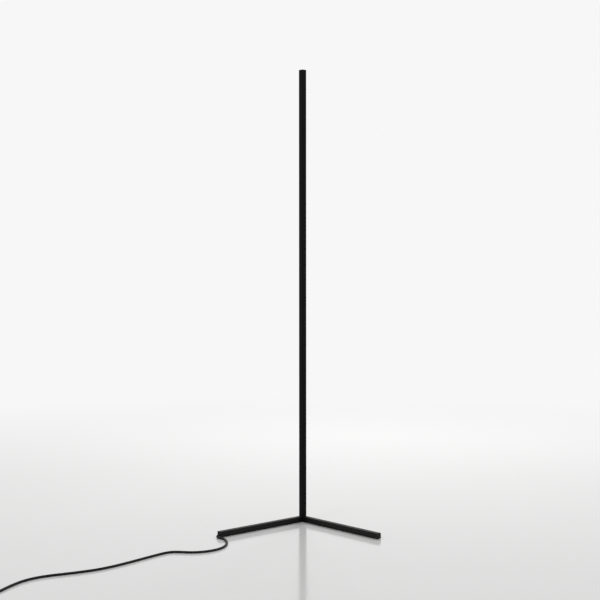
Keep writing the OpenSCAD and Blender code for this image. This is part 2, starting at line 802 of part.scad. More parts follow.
// Flat band round the four strands at the near side of the coil
module cord_tie() {
    strand_in = coil_inner_r + coil_pitch / 2 - cord_r - tie_gap;
    strand_out = coil_inner_r + coil_pitch * 3 / 2 + cord_r + tie_gap;
    strand_top = coil_top_z + cord_r + tie_seat;
    color(rubber_grey) translate([coil_x - tie_w / 2, coil_y, 0]) difference() {
        translate([0, -strand_out - tie_t, 0])
            cube([tie_w, strand_out - strand_in + 2 * tie_t, strand_top + tie_t]);
        translate([-cut, -strand_out, tie_t])
            cube([tie_w + 2 * cut, strand_out - strand_in, strand_top - tie_t]);
    }
}

// ---------- controller ----------

module at_controller() {
    translate([ctl_x, ctl_y, 0]) children();
}

// A relief on the controller's axis: collar inside the wall, neck in it, taper outside.
// With spare above zero it is the room that the shells leave for it.
module small_relief(spare) {
    neck_r = cord_r + neck_wall;
    rotate([90, 0, 0]) {
        translate([0, 0, -ctl_wall - collar_l - spare])
            cylinder(h = collar_l - fit_gap + spare, r = neck_r + collar_reach + spare);
        translate([0, 0, -ctl_wall - 1]) cylinder(h = ctl_wall + 1 + spare, r = neck_r + spare);
        if (spare == 0) cylinder(h = ctl_relief_l, r1 = neck_r + neck_wall, r2 = relief_tip_d / 2);
    }
}

module relief_in(spare) {
    translate([0, 0, ctl_cord_z]) small_relief(spare);
}

module relief_out(spare) {
    translate([0, ctl_l, ctl_cord_z]) mirror([0, 1, 0]) small_relief(spare);
}

module controller_relief_in() {
    color(cord_black) at_controller() relief_in(0);
}

module controller_relief_out() {
    color(cord_black) at_controller() relief_out(0);
}

module at_ctl_screws() {
    for (x = [-ctl_screw_x, ctl_screw_x], y = ctl_screw_y) translate([x, y, 0]) children();
}

module controller_base() {
    post_x = ctl_w / 2 - ctl_wall - 2 * ctl_post_r;
    post_bottom = ctl_wall - sink;
    color(black_plastic) at_controller() difference() {
        union() {
            case_half(ctl_w, ctl_l, ctl_h, ctl_r, ctl_chamfer, ctl_wall, 0, ctl_split);
            at_ctl_screws() translate([0, 0, ctl_wall]) cylinder(h = ctl_split - ctl_wall, r = ctl_boss_r);
            for (x = [-post_x, post_x], y = [-ctl_post_y, ctl_post_y])
                translate([x, ctl_mid + y, post_bottom])
                    cylinder(h = ctl_board_top - ctl_board_t - post_bottom, r = ctl_post_r);
        }
        relief_in(fit_gap);
        relief_out(fit_gap);
        at_ctl_screws() {
            translate([0, 0, -cut]) cylinder(h = ctl_h, r = ctl_screw_r + fit_gap);
            translate([0, 0, -cut])
                cylinder(h = ctl_screw_head_h + fit_gap + cut, r = ctl_screw_head_r + fit_gap);
        }
    }
}

module controller_cover() {
    color(black_plastic) at_controller() difference() {
        union() {
            case_half(ctl_w, ctl_l, ctl_h, ctl_r, ctl_chamfer, ctl_wall, ctl_split, ctl_h);
            at_ctl_screws() translate([0, 0, ctl_split])
                cylinder(h = ctl_ceiling - ctl_split + sink, r = ctl_boss_r);
        }
        relief_in(fit_gap);
        relief_out(fit_gap);
        at_ctl_screws() translate([0, 0, ctl_split - cut])
            cylinder(h = ctl_ceiling - ctl_split - cut + fit_gap, r = ctl_screw_r + fit_gap);
        for (y = button_y) translate([0, y, ctl_split]) cylinder(h = ctl_h, r = button_d / 2 + button_gap);
        translate([0, window_y, ctl_split]) cylinder(h = ctl_h, r = window_d / 2 + fit_gap);
    }
}

module controller_screws() {
    color(steel) at_controller() at_ctl_screws() difference() {
        union() {
            cylinder(h = ctl_screw_head_h, r = ctl_screw_head_r);
            cylinder(h = ctl_ceiling - 2 * cut, r = ctl_screw_r);
        }
        hex_socket(ctl_socket_r, ctl_socket_depth);
    }
}

// Board on the base's posts, with a chip and a choke under it
module controller_board() {
    board_l = ctl_screw_y[1] - ctl_screw_y[0] - 2 * ctl_boss_r - 2 * ctl_board_gap;
    inside_w = ctl_w - 2 * ctl_wall - 2 * ctl_board_gap;
    under = ctl_board_top - ctl_board_t;
    color(board_green) at_controller() {
        translate([-inside_w / 2, ctl_mid - board_l / 2, under]) cube([inside_w, board_l, ctl_board_t]);
        translate([-ctl_chip.x / 2, ctl_mid - ctl_chip.y / 2, under - ctl_chip.z])
            cube(ctl_chip + [0, 0, fit_gap]);
        translate([-ctl_choke.x / 2, ctl_mid + ctl_chip.y, under - ctl_choke.z])
            cube(ctl_choke + [0, 0, fit_gap]);
    }
}

module dome_switches() {
    color(steel) at_controller() for (y = button_y)
        translate([0, y, ctl_board_top]) cylinder(h = dome_h, r1 = dome_r, r2 = dome_r - 2 * sink);
}

// Button with a flange under the cover and a stem above its dome switch
module push_button(i) {
    color(rubber_grey) at_controller() translate([0, button_y[i], 0]) {
        translate([0, 0, ctl_ceiling - fit_gap])
            cylinder(h = ctl_wall + button_proud + fit_gap - button_edge, r = button_d / 2);
        translate([0, 0, ctl_h + button_proud - button_edge])
            cylinder(h = button_edge, r1 = button_d / 2, r2 = button_d / 2 - button_edge);
        translate([0, 0, ctl_ceiling - fit_gap - flange_t])
            cylinder(h = flange_t, r = button_d / 2 + flange_reach);
        translate([0, 0, stem_bottom]) cylinder(h = ctl_ceiling - flange_t - stem_bottom, r = stem_r);
    }
}

module indicator_window() {
    color(milky) at_controller() translate([0, window_y, 0]) {
        translate([0, 0, ctl_ceiling - sink]) cylinder(h = ctl_wall + sink - fit_gap, r = window_d / 2);
        translate([0, 0, ctl_ceiling - fit_gap - flange_t])
            cylinder(h = flange_t, r = window_d / 2 + flange_reach);
    }
}

// ---------- adapter ----------

module at_adapter() {
    translate([adapter_x, adapter_y, 0]) children();
}

// The adapter's relief, or with spare above zero the room that the front shell leaves for it
module adapter_relief_body(spare) {
    neck_r = cord_r + adapter_neck_wall;
    translate([0, adapter_l, coil_top_z]) rotate([-90, 0, 0]) {
        translate([0, 0, -adapter_wall - adapter_collar_l - spare])
            cylinder(h = adapter_collar_l - fit_gap + spare, r = neck_r + collar_reach + spare);
        translate([0, 0, -adapter_wall - 1]) cylinder(h = adapter_wall + 1 + spare, r = neck_r + spare);
        if (spare == 0) cylinder(h = adapter_relief_l, r1 = neck_r + neck_wall, r2 = relief_tip_d / 2);
    }
}

module adapter_front() {
    color(black_plastic) at_adapter() difference() {
        case_half(adapter_w, adapter_l, adapter_h, adapter_r, adapter_chamfer, adapter_wall,
            0, adapter_split);
        adapter_relief_body(fit_gap);
    }
}

// Back shell with a lip that plugs into the front shell; its root reaches into the wall above
module adapter_back() {
    lip_w = adapter_w - 2 * adapter_wall - 2 * fit_gap;
    lip_l = adapter_l - 2 * adapter_wall - 2 * fit_gap;
    lip_r = adapter_r - adapter_wall / 2;
    color(black_plastic) at_adapter() difference() {
        union() {
            case_half(adapter_w, adapter_l, adapter_h, adapter_r, adapter_chamfer, adapter_wall,
                adapter_split, adapter_h);
            translate([0, adapter_l / 2, adapter_split - adapter_lip]) difference() {
                union() {
                    linear_extrude(adapter_lip + cut) rounded_square(lip_w, lip_l, lip_r);
                    translate([0, 0, adapter_lip]) linear_extrude(adapter_lip)
                        rounded_square(lip_w + 2 * sink, lip_l + 2 * sink, lip_r);
                }
                translate([0, 0, -cut]) linear_extrude(adapter_split) rounded_square(
                    lip_w - 2 * adapter_lip_t, lip_l - 2 * adapter_lip_t, lip_r - adapter_lip_t);
            }
        }
        for (side = [-1, 1]) translate([side * pin_pitch / 2, pin_y, adapter_split])
            cylinder(h = adapter_h, r = pin_d / 2 + fit_gap);
    }
}

module adapter_pins() {
    color(steel) at_adapter() for (side = [-1, 1]) translate([side * pin_pitch / 2, pin_y, 0]) {
        translate([0, 0, adapter_split])
            cylinder(h = adapter_h - adapter_split + pin_l - pin_tip, r = pin_d / 2);
        translate([0, 0, adapter_h + pin_l - pin_tip])
            cylinder(h = pin_tip, r1 = pin_d / 2, r2 = pin_d / 2 - 0.8 * pin_tip);
        translate([0, 0, adapter_h - adapter_wall - pin_flange_t - fit_gap])
            cylinder(h = pin_flange_t, r = pin_d / 2 + pin_flange_reach);
    }
}

// Board on posts in the front shell, with a contact post under each pin
module adapter_board() {
    under = adapter_board_top - adapter_board_t;
    post_x = adapter_w / 2 - adapter_board_inset - adapter_post_inset;
    post_y = [adapter_board_inset + adapter_post_inset,
        adapter_l - adapter_board_inset - adapter_board_room - adapter_post_inset];
    color(board_green) at_adapter() {
        translate([-adapter_w / 2 + adapter_board_inset, adapter_board_inset, under])
            cube([adapter_w - 2 * adapter_board_inset,
                  adapter_l - 2 * adapter_board_inset - adapter_board_room, adapter_board_t]);
        for (x = [-post_x, post_x], y = post_y) translate([x, y, adapter_wall + fit_gap])
            cylinder(h = under + sink - adapter_wall - fit_gap, r = adapter_post_r);
        for (side = [-1, 1]) translate([side * pin_pitch / 2, pin_y, adapter_board_top - sink])
            cylinder(h = adapter_split + sink - adapter_board_top - fit_gap, r = pin_d / 2 - sink);
    }
}

module adapter_transformer() {
    top = adapter_board_top - adapter_board_t - fit_gap;
    color(rubber_grey) at_adapter() translate([-transformer.x / 2, (adapter_l - transformer.y) / 2,
        adapter_wall + fit_gap]) cube([transformer.x, transformer.y, top - adapter_wall - fit_gap]);
}

module adapter_relief() {
    color(cord_black) at_adapter() adapter_relief_body(0);
}

// Least gap between turns of the coil, on its points
coil_gaps = [for (i = [0:len(coil_path) - 1], j = [i + coil_steps / 2:len(coil_path) - 1])
    norm(coil_path[i] - coil_path[j])];
echo(coil_least_gap = min(coil_gaps) - cord_d);
echo(run_length = path_length(smooth_path(cord_stops, relief_heading, [0, 1, 0], 3)),
    link_length = path_length(smooth_path(link_stops, [0, 1, 0], [0, 1, 0], 3)),
    coil_length = path_length(coil_path), relief_length = path_length(relief_path));

pole_length(LOWER);  // pole_lower
pole_length(MIDDLE);  // pole_middle
pole_length(UPPER);  // pole_upper
diffuser_length(LOWER);  // diffuser_lower
diffuser_length(MIDDLE);  // diffuser_middle
diffuser_length(UPPER);  // diffuser_upper
led_board(LOWER);  // led_board_lower
led_board(MIDDLE);  // led_board_middle
led_board(UPPER);  // led_board_upper
led_chips(LOWER);  // led_chips_lower
led_chips(MIDDLE);  // led_chips_middle
led_chips(UPPER);  // led_chips_upper
link_socket(0);  // link_socket_lower
link_socket(1);  // link_socket_upper
link_plug(0);  // link_plug_lower
link_plug(1);  // link_plug_upper
strip_plug();
splice_bar(0);  // splice_bar_lower
splice_bar(1);  // splice_bar_upper
anchor_bar();
bar_screws();
pole_bolt();
top_cap();
corner_block();
left_tube();
right_tube();
tube_screws();
left_end_cap();
right_end_cap();
corner_pad();
left_pad();
right_pad();
inner_lead();
strain_relief();
cord_run();
controller_base();
controller_cover();
controller_board();
dome_switches();
push_button(0);  // button_power
push_button(1);  // button_colour
push_button(2);  // button_mode
indicator_window();
controller_screws();
controller_relief_in();
controller_relief_out();
cord_link();
cord_coil();
cord_tie();
adapter_front();
adapter_back();
adapter_pins();
adapter_board();
adapter_transformer();
adapter_relief();
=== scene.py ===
"""Corner floor lamp: finishes, cords and fine pieces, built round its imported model.

The pole stands on the corner of a right-angled base and throws its light towards +Y.
Everything is in metres, in the model's own frame: +Z is up and the floor lies at z = 0.
"""

from __future__ import annotations

import json
import logging
import math
from bisect import bisect_left
from collections.abc import Iterable, Sequence
from dataclasses import dataclass, field
from enum import Enum

import bmesh
import bpy
from bmesh.types import BMEdge
from bpy.types import ID, Material, Mesh, Node, NodeSocket, NodeTree, Object
from mathutils import Matrix, Vector
from mathutils.bvhtree import BVHTree
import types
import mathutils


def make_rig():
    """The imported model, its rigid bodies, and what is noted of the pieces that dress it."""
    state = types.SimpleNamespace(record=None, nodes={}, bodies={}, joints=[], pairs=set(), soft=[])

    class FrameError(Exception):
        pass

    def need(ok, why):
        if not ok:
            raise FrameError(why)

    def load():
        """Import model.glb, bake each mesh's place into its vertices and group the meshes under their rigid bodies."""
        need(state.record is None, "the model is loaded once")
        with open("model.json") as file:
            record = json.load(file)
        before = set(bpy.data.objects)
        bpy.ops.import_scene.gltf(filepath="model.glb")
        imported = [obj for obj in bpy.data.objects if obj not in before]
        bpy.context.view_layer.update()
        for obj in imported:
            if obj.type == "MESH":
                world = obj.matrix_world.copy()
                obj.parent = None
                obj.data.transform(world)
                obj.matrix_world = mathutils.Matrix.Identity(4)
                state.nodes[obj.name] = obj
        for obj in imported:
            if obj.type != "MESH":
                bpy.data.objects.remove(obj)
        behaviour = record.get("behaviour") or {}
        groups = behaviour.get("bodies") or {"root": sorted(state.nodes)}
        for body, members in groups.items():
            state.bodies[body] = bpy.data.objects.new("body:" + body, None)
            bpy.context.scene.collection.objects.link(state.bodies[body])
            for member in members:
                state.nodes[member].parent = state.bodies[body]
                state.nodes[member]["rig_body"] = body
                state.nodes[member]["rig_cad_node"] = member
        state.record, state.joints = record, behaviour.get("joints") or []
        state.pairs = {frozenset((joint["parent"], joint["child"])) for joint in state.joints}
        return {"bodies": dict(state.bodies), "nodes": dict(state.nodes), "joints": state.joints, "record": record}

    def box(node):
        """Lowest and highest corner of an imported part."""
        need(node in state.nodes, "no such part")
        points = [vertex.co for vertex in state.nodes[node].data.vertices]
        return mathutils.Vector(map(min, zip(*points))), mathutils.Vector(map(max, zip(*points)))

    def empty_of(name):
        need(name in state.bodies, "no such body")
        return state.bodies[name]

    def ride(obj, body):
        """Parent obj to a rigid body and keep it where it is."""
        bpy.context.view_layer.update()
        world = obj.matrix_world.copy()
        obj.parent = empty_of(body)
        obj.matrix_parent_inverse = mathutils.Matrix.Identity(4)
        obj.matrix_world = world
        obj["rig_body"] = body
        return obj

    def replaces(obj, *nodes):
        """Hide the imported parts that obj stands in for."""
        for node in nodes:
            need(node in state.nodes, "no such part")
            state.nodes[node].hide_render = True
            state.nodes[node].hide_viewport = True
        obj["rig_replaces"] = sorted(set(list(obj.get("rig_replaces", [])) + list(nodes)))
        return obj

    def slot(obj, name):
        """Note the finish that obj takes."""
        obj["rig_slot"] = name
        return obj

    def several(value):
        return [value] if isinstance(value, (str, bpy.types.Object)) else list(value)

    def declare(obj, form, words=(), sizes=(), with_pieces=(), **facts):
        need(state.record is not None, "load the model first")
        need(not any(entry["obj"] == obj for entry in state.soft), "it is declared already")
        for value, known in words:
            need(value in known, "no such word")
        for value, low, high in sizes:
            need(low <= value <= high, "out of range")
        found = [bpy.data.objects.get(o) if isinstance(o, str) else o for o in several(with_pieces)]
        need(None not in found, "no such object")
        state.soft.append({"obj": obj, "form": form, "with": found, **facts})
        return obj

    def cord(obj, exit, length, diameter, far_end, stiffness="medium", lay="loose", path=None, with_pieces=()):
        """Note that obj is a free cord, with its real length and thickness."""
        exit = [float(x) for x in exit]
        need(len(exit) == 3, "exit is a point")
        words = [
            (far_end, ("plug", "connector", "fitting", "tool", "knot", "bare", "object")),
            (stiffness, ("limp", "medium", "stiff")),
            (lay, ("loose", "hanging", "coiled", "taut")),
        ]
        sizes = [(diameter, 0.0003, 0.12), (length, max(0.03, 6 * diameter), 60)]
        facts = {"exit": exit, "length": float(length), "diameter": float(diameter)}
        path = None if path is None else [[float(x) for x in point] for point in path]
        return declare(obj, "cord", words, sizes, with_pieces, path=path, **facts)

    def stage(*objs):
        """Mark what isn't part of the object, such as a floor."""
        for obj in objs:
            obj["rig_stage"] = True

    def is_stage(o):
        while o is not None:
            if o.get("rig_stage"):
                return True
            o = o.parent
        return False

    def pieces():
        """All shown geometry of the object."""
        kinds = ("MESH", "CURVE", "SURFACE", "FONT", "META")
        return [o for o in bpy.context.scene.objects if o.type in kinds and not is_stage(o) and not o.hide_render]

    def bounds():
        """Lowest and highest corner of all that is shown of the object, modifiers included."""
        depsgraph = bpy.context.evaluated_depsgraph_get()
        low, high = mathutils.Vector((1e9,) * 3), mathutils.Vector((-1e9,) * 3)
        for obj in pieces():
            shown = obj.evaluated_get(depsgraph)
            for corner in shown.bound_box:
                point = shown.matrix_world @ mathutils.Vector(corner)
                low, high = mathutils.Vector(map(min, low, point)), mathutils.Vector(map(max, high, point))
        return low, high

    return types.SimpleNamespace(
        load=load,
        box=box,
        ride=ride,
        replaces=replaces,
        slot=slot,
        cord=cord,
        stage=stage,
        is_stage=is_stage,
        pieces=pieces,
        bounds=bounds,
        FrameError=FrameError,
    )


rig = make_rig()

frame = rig.load()
cad_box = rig.bounds()

log = logging.getLogger("corner_lamp")

SIZE_FILE = "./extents.json"
WEAR = "edge_wear"  # marks eased edges on a mesh
POLE_SEAMS = (0.4774667, 0.9377333)  # heights where the pole's lengths meet
CONTROLLER_X = -0.772  # the line along Y that the controller lies on
CORD_RADIUS = 0.0032
RELIEF_TIP = 0.0035  # radius of every relief at its far end
ROOT2 = math.sqrt(2)
UPRIGHT = (0.0, 0.0, 0.0)
TURNED_OVER = (math.pi, 0.0, 0.0)
FACING_BACK = (-math.pi / 2, 0.0, 0.0)  # towards +Y
TURNED_SHARP = math.radians(32)  # the least angle of a sharp edge on a turned part
BLACK, WHITE = (0.0, 0.0, 0.0, 1.0), (1.0, 1.0, 1.0, 1.0)

Pair = tuple[float, float]
Span = tuple[float, float]
Colour = tuple[float, float, float]
Triple = tuple[float, float, float]
Input = float | int | Sequence[float] | NodeSocket | ID


# ---------- node trees ----------


class Graph:
    """A node tree being built, with one call for each node.

    Attributes:
        noise_span: Where the middle of a noise factor lies.
        mix_colours: The mix node's inputs for two colours.
        mix_result: Its output for the mixed one.
    """

    noise_span: Span = (0.3, 0.7)
    mix_colours: tuple[int, int] = (6, 7)
    mix_result: int = 2

    def __init__(self, tree: NodeTree) -> None:
        """Empties the tree and keeps it.

        Args:
            tree: The shader or geometry tree to fill.
        """
        self.tree = tree
        tree.nodes.clear()

    def add(self, kind: str, inputs: dict[str | int, Input] | None = None,
            **settings: object) -> Node:
        """Adds a node, sets its options and fills or links its inputs.

        Args:
            kind: The node's type name.
            inputs: A value or a socket to link, for each input's name or number.
            **settings: The node's own options.

        Returns:
            The new node.
        """
        node = self.tree.nodes.new(kind)
        for name, value in settings.items():
            setattr(node, name, value)
        for key, value in (inputs or {}).items():
            if isinstance(value, NodeSocket):
                self.tree.links.new(value, node.inputs[key])
            else:
                node.inputs[key].default_value = value
        return node

    def maths(self, operation: str, *inputs: Input) -> NodeSocket:
        """Adds a calculation over its inputs, and returns its value."""
        values = dict(enumerate(inputs))
        return self.add("ShaderNodeMath", values, operation=operation).outputs["Value"]

    def mapped(self, value: NodeSocket, given: Span, wanted: Span = (0.0, 1.0),
               **settings: object) -> NodeSocket:
        """Maps one span of values to another.

        Args:
            value: The value to map.
            given: The span that it comes from.
            wanted: The span that it goes to.
            **settings: The node's own options.

        Returns:
            The mapped value.
        """
        inputs = {"Value": value, "From Min": given[0], "From Max": given[1],
                  "To Min": wanted[0], "To Max": wanted[1]}
        return self.add("ShaderNodeMapRange", inputs, **settings).outputs["Result"]

    def noise(self, scale: float, detail: float, at: NodeSocket) -> NodeSocket:
        """Adds a noise pattern with that many cells to a metre, and returns its factor."""
        inputs = {"Vector": at, "Scale": scale, "Detail": detail}
        return self.add("ShaderNodeTexNoise", inputs).outputs["Fac"]

    def spread(self, factor: NodeSocket, wanted: Span) -> NodeSocket:
        """Maps the middle of a noise factor's span to the wanted one."""
        return self.mapped(factor, self.noise_span, wanted)

    def blend(self, factor: NodeSocket, first: Input, second: Input) -> NodeSocket:
        """Mixes two colours by a factor.

        Args:
            factor: Share of the second colour.
            first: The first colour, or a socket that gives it.
            second: The second colour, or a socket that gives it.

        Returns:
            The mixed colour.
        """
        mix = self.add("ShaderNodeMix", {"Factor": factor}, data_type="RGBA")
        for number, value in zip(self.mix_colours, (first, second)):
            if isinstance(value, NodeSocket):
                self.tree.links.new(value, mix.inputs[number])
            else:
                mix.inputs[number].default_value = (*value, 1.0)
        return mix.outputs[self.mix_result]

    def sight(self) -> NodeSocket:
        """Tells rays of sight from rays of light.

        Returns:
            1 for rays from the camera and for those that gloss and glass send on, else 0.
        """
        path = self.add("ShaderNodeLightPath")
        seen = path.outputs["Is Camera Ray"]
        for ray in ("Is Glossy Ray", "Is Transmission Ray"):
            seen = self.maths("MAXIMUM", seen, path.outputs[ray])
        return seen


# ---------- finishes ----------


FINE_DETAIL, BROAD_DETAIL, PLAIN_DETAIL = 3.0, 4.0, 2.0
RUB_CELLS = 160.0
RUB_MOST = 0.8


@dataclass(frozen=True)
class Finish:
    """A surface whose colour, gloss and relief vary over a fine grain and a broad one.

    Attributes:
        name: The material's name.
        colour: The main colour.
        second: The colour that the broad pattern brings in, such as dust or bloom.
        rough: The least and the greatest roughness.
        metallic: How far the surface is metal.
        specular: Strength of its gloss, where 0.5 is plain plastic.
        grain: Cells of the fine grain to a metre.
        relief: Height of the fine grain in metres.
        stretch: How much the fine grain is drawn out along each axis.
        broad: Cells of the broad pattern to a metre.
        worn: The colour that eased edges are rubbed to.
        slot: The record's material slot of the pieces that wear it.
    """

    name: str
    colour: Colour
    second: Colour
    rough: Span = (0.4, 0.5)
    metallic: float = 0.0
    specular: float = 0.5
    grain: float = 900.0
    relief: float = 0.00001
    stretch: Triple = (1.0, 1.0, 1.0)
    broad: float = 9.0
    worn: Colour = (0.04, 0.04, 0.04)
    slot: str = ""

    def material(self) -> Material:
        """Builds the material on its first use.

        Returns:
            The material.
        """
        made = bpy.data.materials.get(self.name)
        if made:
            return made
        made = bpy.data.materials.new(self.name)
        made.use_nodes = True
        graph = Graph(made.node_tree)
        place = graph.add("ShaderNodeTexCoord").outputs["Object"]
        shader = graph.add("ShaderNodeBsdfPrincipled",
                           {"Metallic": self.metallic, "Specular IOR Level": self.specular})
        self.paint(graph, shader, place)
        graph.add("ShaderNodeOutputMaterial", {"Surface": self.seen(graph, shader, place)})
        return made

    def paint(self, graph: Graph, shader: Node, place: NodeSocket) -> None:
        """Gives the shader its colour, roughness and relief.

        Args:
            graph: The material's tree.
            shader: The principled shader.
            place: The point on the piece, in metres.
        """
        links = graph.tree.links
        links.new(self.tint(graph, place), shader.inputs["Base Color"])
        fine = self.fine(graph, place)
        links.new(graph.spread(fine, self.rough), shader.inputs["Roughness"])
        inputs = {"Height": fine, "Strength": 1.0, "Distance": self.relief}
        bump = graph.add("ShaderNodeBump", inputs)
        links.new(bump.outputs["Normal"], shader.inputs["Normal"])

    def seen(self, graph: Graph, shader: Node, place: NodeSocket) -> NodeSocket:
        """Returns the shader socket that the surface shows."""
        return shader.outputs["BSDF"]

    def fine(self, graph: Graph, place: NodeSocket) -> NodeSocket:
        """Draws the fine grain.

        Args:
            graph: The material's tree.
            place: The point on the piece, in metres.

        Returns:
            The grain's height.
        """
        inputs = {"Vector": place, "Scale": [1 / share for share in self.stretch]}
        drawn = graph.add("ShaderNodeMapping", inputs)
        return graph.noise(self.grain, FINE_DETAIL, drawn.outputs["Vector"])

    def tint(self, graph: Graph, place: NodeSocket) -> NodeSocket:
        """Draws a broad, faint variation, and rubbed patches along eased edges.

        Args:
            graph: The material's tree.
            place: The point on the piece, in metres.

        Returns:
            The colour.
        """
        clouds = graph.spread(graph.noise(self.broad, BROAD_DETAIL, place), (0.0, 1.0))
        edge = graph.add("ShaderNodeAttribute", attribute_name=WEAR).outputs["Fac"]
        patches = graph.spread(graph.noise(RUB_CELLS, PLAIN_DETAIL, place), (0.0, RUB_MOST))
        rubbed = graph.maths("MULTIPLY", edge, patches)
        return graph.blend(rubbed, graph.blend(clouds, self.colour, self.second), self.worn)


@dataclass(frozen=True)
class Moulded(Finish):
    """Plastic from a spark-eroded mould: a fine pebbled grain under a faint sheen.

    Attributes:
        pebble: How much the pebbles add to the noise over them.
        softness: How far the pebbles run into each other.
        speckle: Cells of that noise to one pebble.
    """

    pebble: float = 0.5
    softness: float = 0.6
    speckle: float = 1.7

    def fine(self, graph: Graph, place: NodeSocket) -> NodeSocket:
        """Draws rounded pebbles with noise over them.

        Args:
            graph: The material's tree.
            place: The point on the piece, in metres.

        Returns:
            The height.
        """
        inputs = {"Vector": place, "Scale": self.grain, "Smoothness": self.softness}
        cells = graph.add("ShaderNodeTexVoronoi", inputs, feature="SMOOTH_F1")
        noise = graph.noise(self.grain * self.speckle, PLAIN_DETAIL, place)
        return graph.maths("MULTIPLY_ADD", cells.outputs["Distance"], self.pebble, noise)


@dataclass(frozen=True)
class Woven(Finish):
    """Webbing: two sets of threads that cross."""

    def fine(self, graph: Graph, place: NodeSocket) -> NodeSocket:
        """Draws the crossing threads.

        Args:
            graph: The material's tree.
            place: The point on the piece, in metres.

        Returns:
            Their height.
        """
        inputs = {"Vector": place, "Scale": self.grain}
        waves = [graph.add("ShaderNodeTexWave", inputs, bands_direction=axis).outputs["Fac"]
                 for axis in ("X", "DIAGONAL")]
        return graph.maths("MAXIMUM", *waves)


@dataclass(frozen=True)
class Circuit(Finish):
    """Lacquered board with copper tracks that show through.

    Attributes:
        track: Cells of the track pattern to a metre.
        width: Width of a track, as a share of a cell.
        blur: How soft its edges are.
    """

    track: float = 420.0
    width: float = 0.12
    blur: float = 0.2

    def tint(self, graph: Graph, place: NodeSocket) -> NodeSocket:
        """Draws the tracks under the lacquer.

        Args:
            graph: The material's tree.
            place: The point on the piece, in metres.

        Returns:
            The lacquer's colour, which differs over the tracks.
        """
        inputs = {"Vector": place, "Scale": self.track, "Mortar Size": self.width,
                  "Mortar Smooth": self.blur, "Color1": BLACK, "Color2": BLACK, "Mortar": WHITE}
        tracks = graph.add("ShaderNodeTexBrick", inputs).outputs["Color"]
        return graph.blend(tracks, self.colour, self.second)


@dataclass(frozen=True)
class Lit(Finish):
    """Milky plastic with the light strip behind it: the colour runs up the pole from red to blue.

    Attributes:
        stops: Height as a share of the lamp's, and the light's colour there.
        height: The lamp's height.
        half_width: Half the diffuser's width, over which the light falls off.
        pitch: Distance between the light chips, which show as faint bright spots.
        power: Strength of the light on the surface.
        spot: How much darker it is between two chips.
        sides: How much darker it is at the long edges.
    """

    stops: tuple[tuple[float, Colour], ...] = ()
    height: float = 1.4
    half_width: float = 0.00976
    pitch: float = 0.0165
    power: float = 0.8
    spot: float = 0.10
    sides: float = 0.28

    def paint(self, graph: Graph, shader: Node, place: NodeSocket) -> None:
        """Adds the light to what every finish has.

        Args:
            graph: The material's tree.
            shader: The principled shader.
            place: The point on the piece, in metres.
        """
        super().paint(graph, shader, place)
        axes = graph.add("ShaderNodeSeparateXYZ", {"Vector": place})
        up, across = axes.outputs["Z"], axes.outputs["X"]
        ramp = graph.add("ShaderNodeValToRGB", {"Fac": graph.maths("DIVIDE", up, self.height)})
        ramp.color_ramp.interpolation = "EASE"
        elements = ramp.color_ramp.elements
        while len(elements) < len(self.stops):
            elements.new(0.5)
        for element, (at, colour) in zip(elements, self.stops):
            element.position = at
            element.color = (*colour, 1.0)
        wave = graph.maths("COSINE", graph.maths("MULTIPLY", up, 2 * math.pi / self.pitch))
        between = graph.mapped(wave, (-1.0, 1.0), (self.spot, 0.0))
        off = graph.maths("DIVIDE", across, self.half_width)
        dim = graph.maths("MULTIPLY_ADD", graph.maths("MULTIPLY", off, off), self.sides, between)
        light = graph.blend(dim, ramp.outputs["Color"], (0.0, 0.0, 0.0))
        graph.tree.links.new(light, shader.inputs["Emission Color"])
        shader.inputs["Emission Strength"].default_value = self.power


@dataclass(frozen=True)
class PaleFloor(Finish):
    """Floor that keeps shadows near the lamp and passes into the pale surround far off.

    Attributes:
        surround: Brightness of the surround.
        near: Where the floor starts to pass into it.
        far: Where only the surround is left.
    """

    surround: float = 0.93
    near: float = 1.1
    far: float = 3.6

    def seen(self, graph: Graph, shader: Node, place: NodeSocket) -> NodeSocket:
        """Lets the floor pass into the surround for rays of sight.

        Args:
            graph: The material's tree.
            shader: The principled shader.
            place: The point on the piece, in metres.

        Returns:
            The shader socket that the surface shows.
        """
        off = graph.add("ShaderNodeVectorMath", {0: place}, operation="LENGTH").outputs["Value"]
        share = graph.mapped(off, (self.near, self.far), interpolation_type="SMOOTHSTEP")
        factor = graph.maths("MULTIPLY", share, graph.sight())
        tone = graph.add("ShaderNodeEmission", {"Color": WHITE, "Strength": self.surround})
        inputs = {0: factor, 1: shader.outputs["BSDF"], 2: tone.outputs[0]}
        return graph.add("ShaderNodeMixShader", inputs).outputs[0]


LIGHT_STOPS = (
    (0.01, (1.0, 0.09, 0.08)), (0.11, (1.0, 0.13, 0.10)), (0.20, (1.0, 0.32, 0.13)),
    (0.28, (1.0, 0.62, 0.18)), (0.36, (0.92, 0.86, 0.24)), (0.45, (0.60, 0.92, 0.28)),
    (0.54, (0.28, 0.92, 0.36)), (0.63, (0.20, 0.92, 0.62)), (0.71, (0.20, 0.84, 0.90)),
    (0.80, (0.18, 0.60, 1.0)), (0.89, (0.13, 0.36, 1.0)), (0.99, (0.10, 0.18, 0.95)),
)


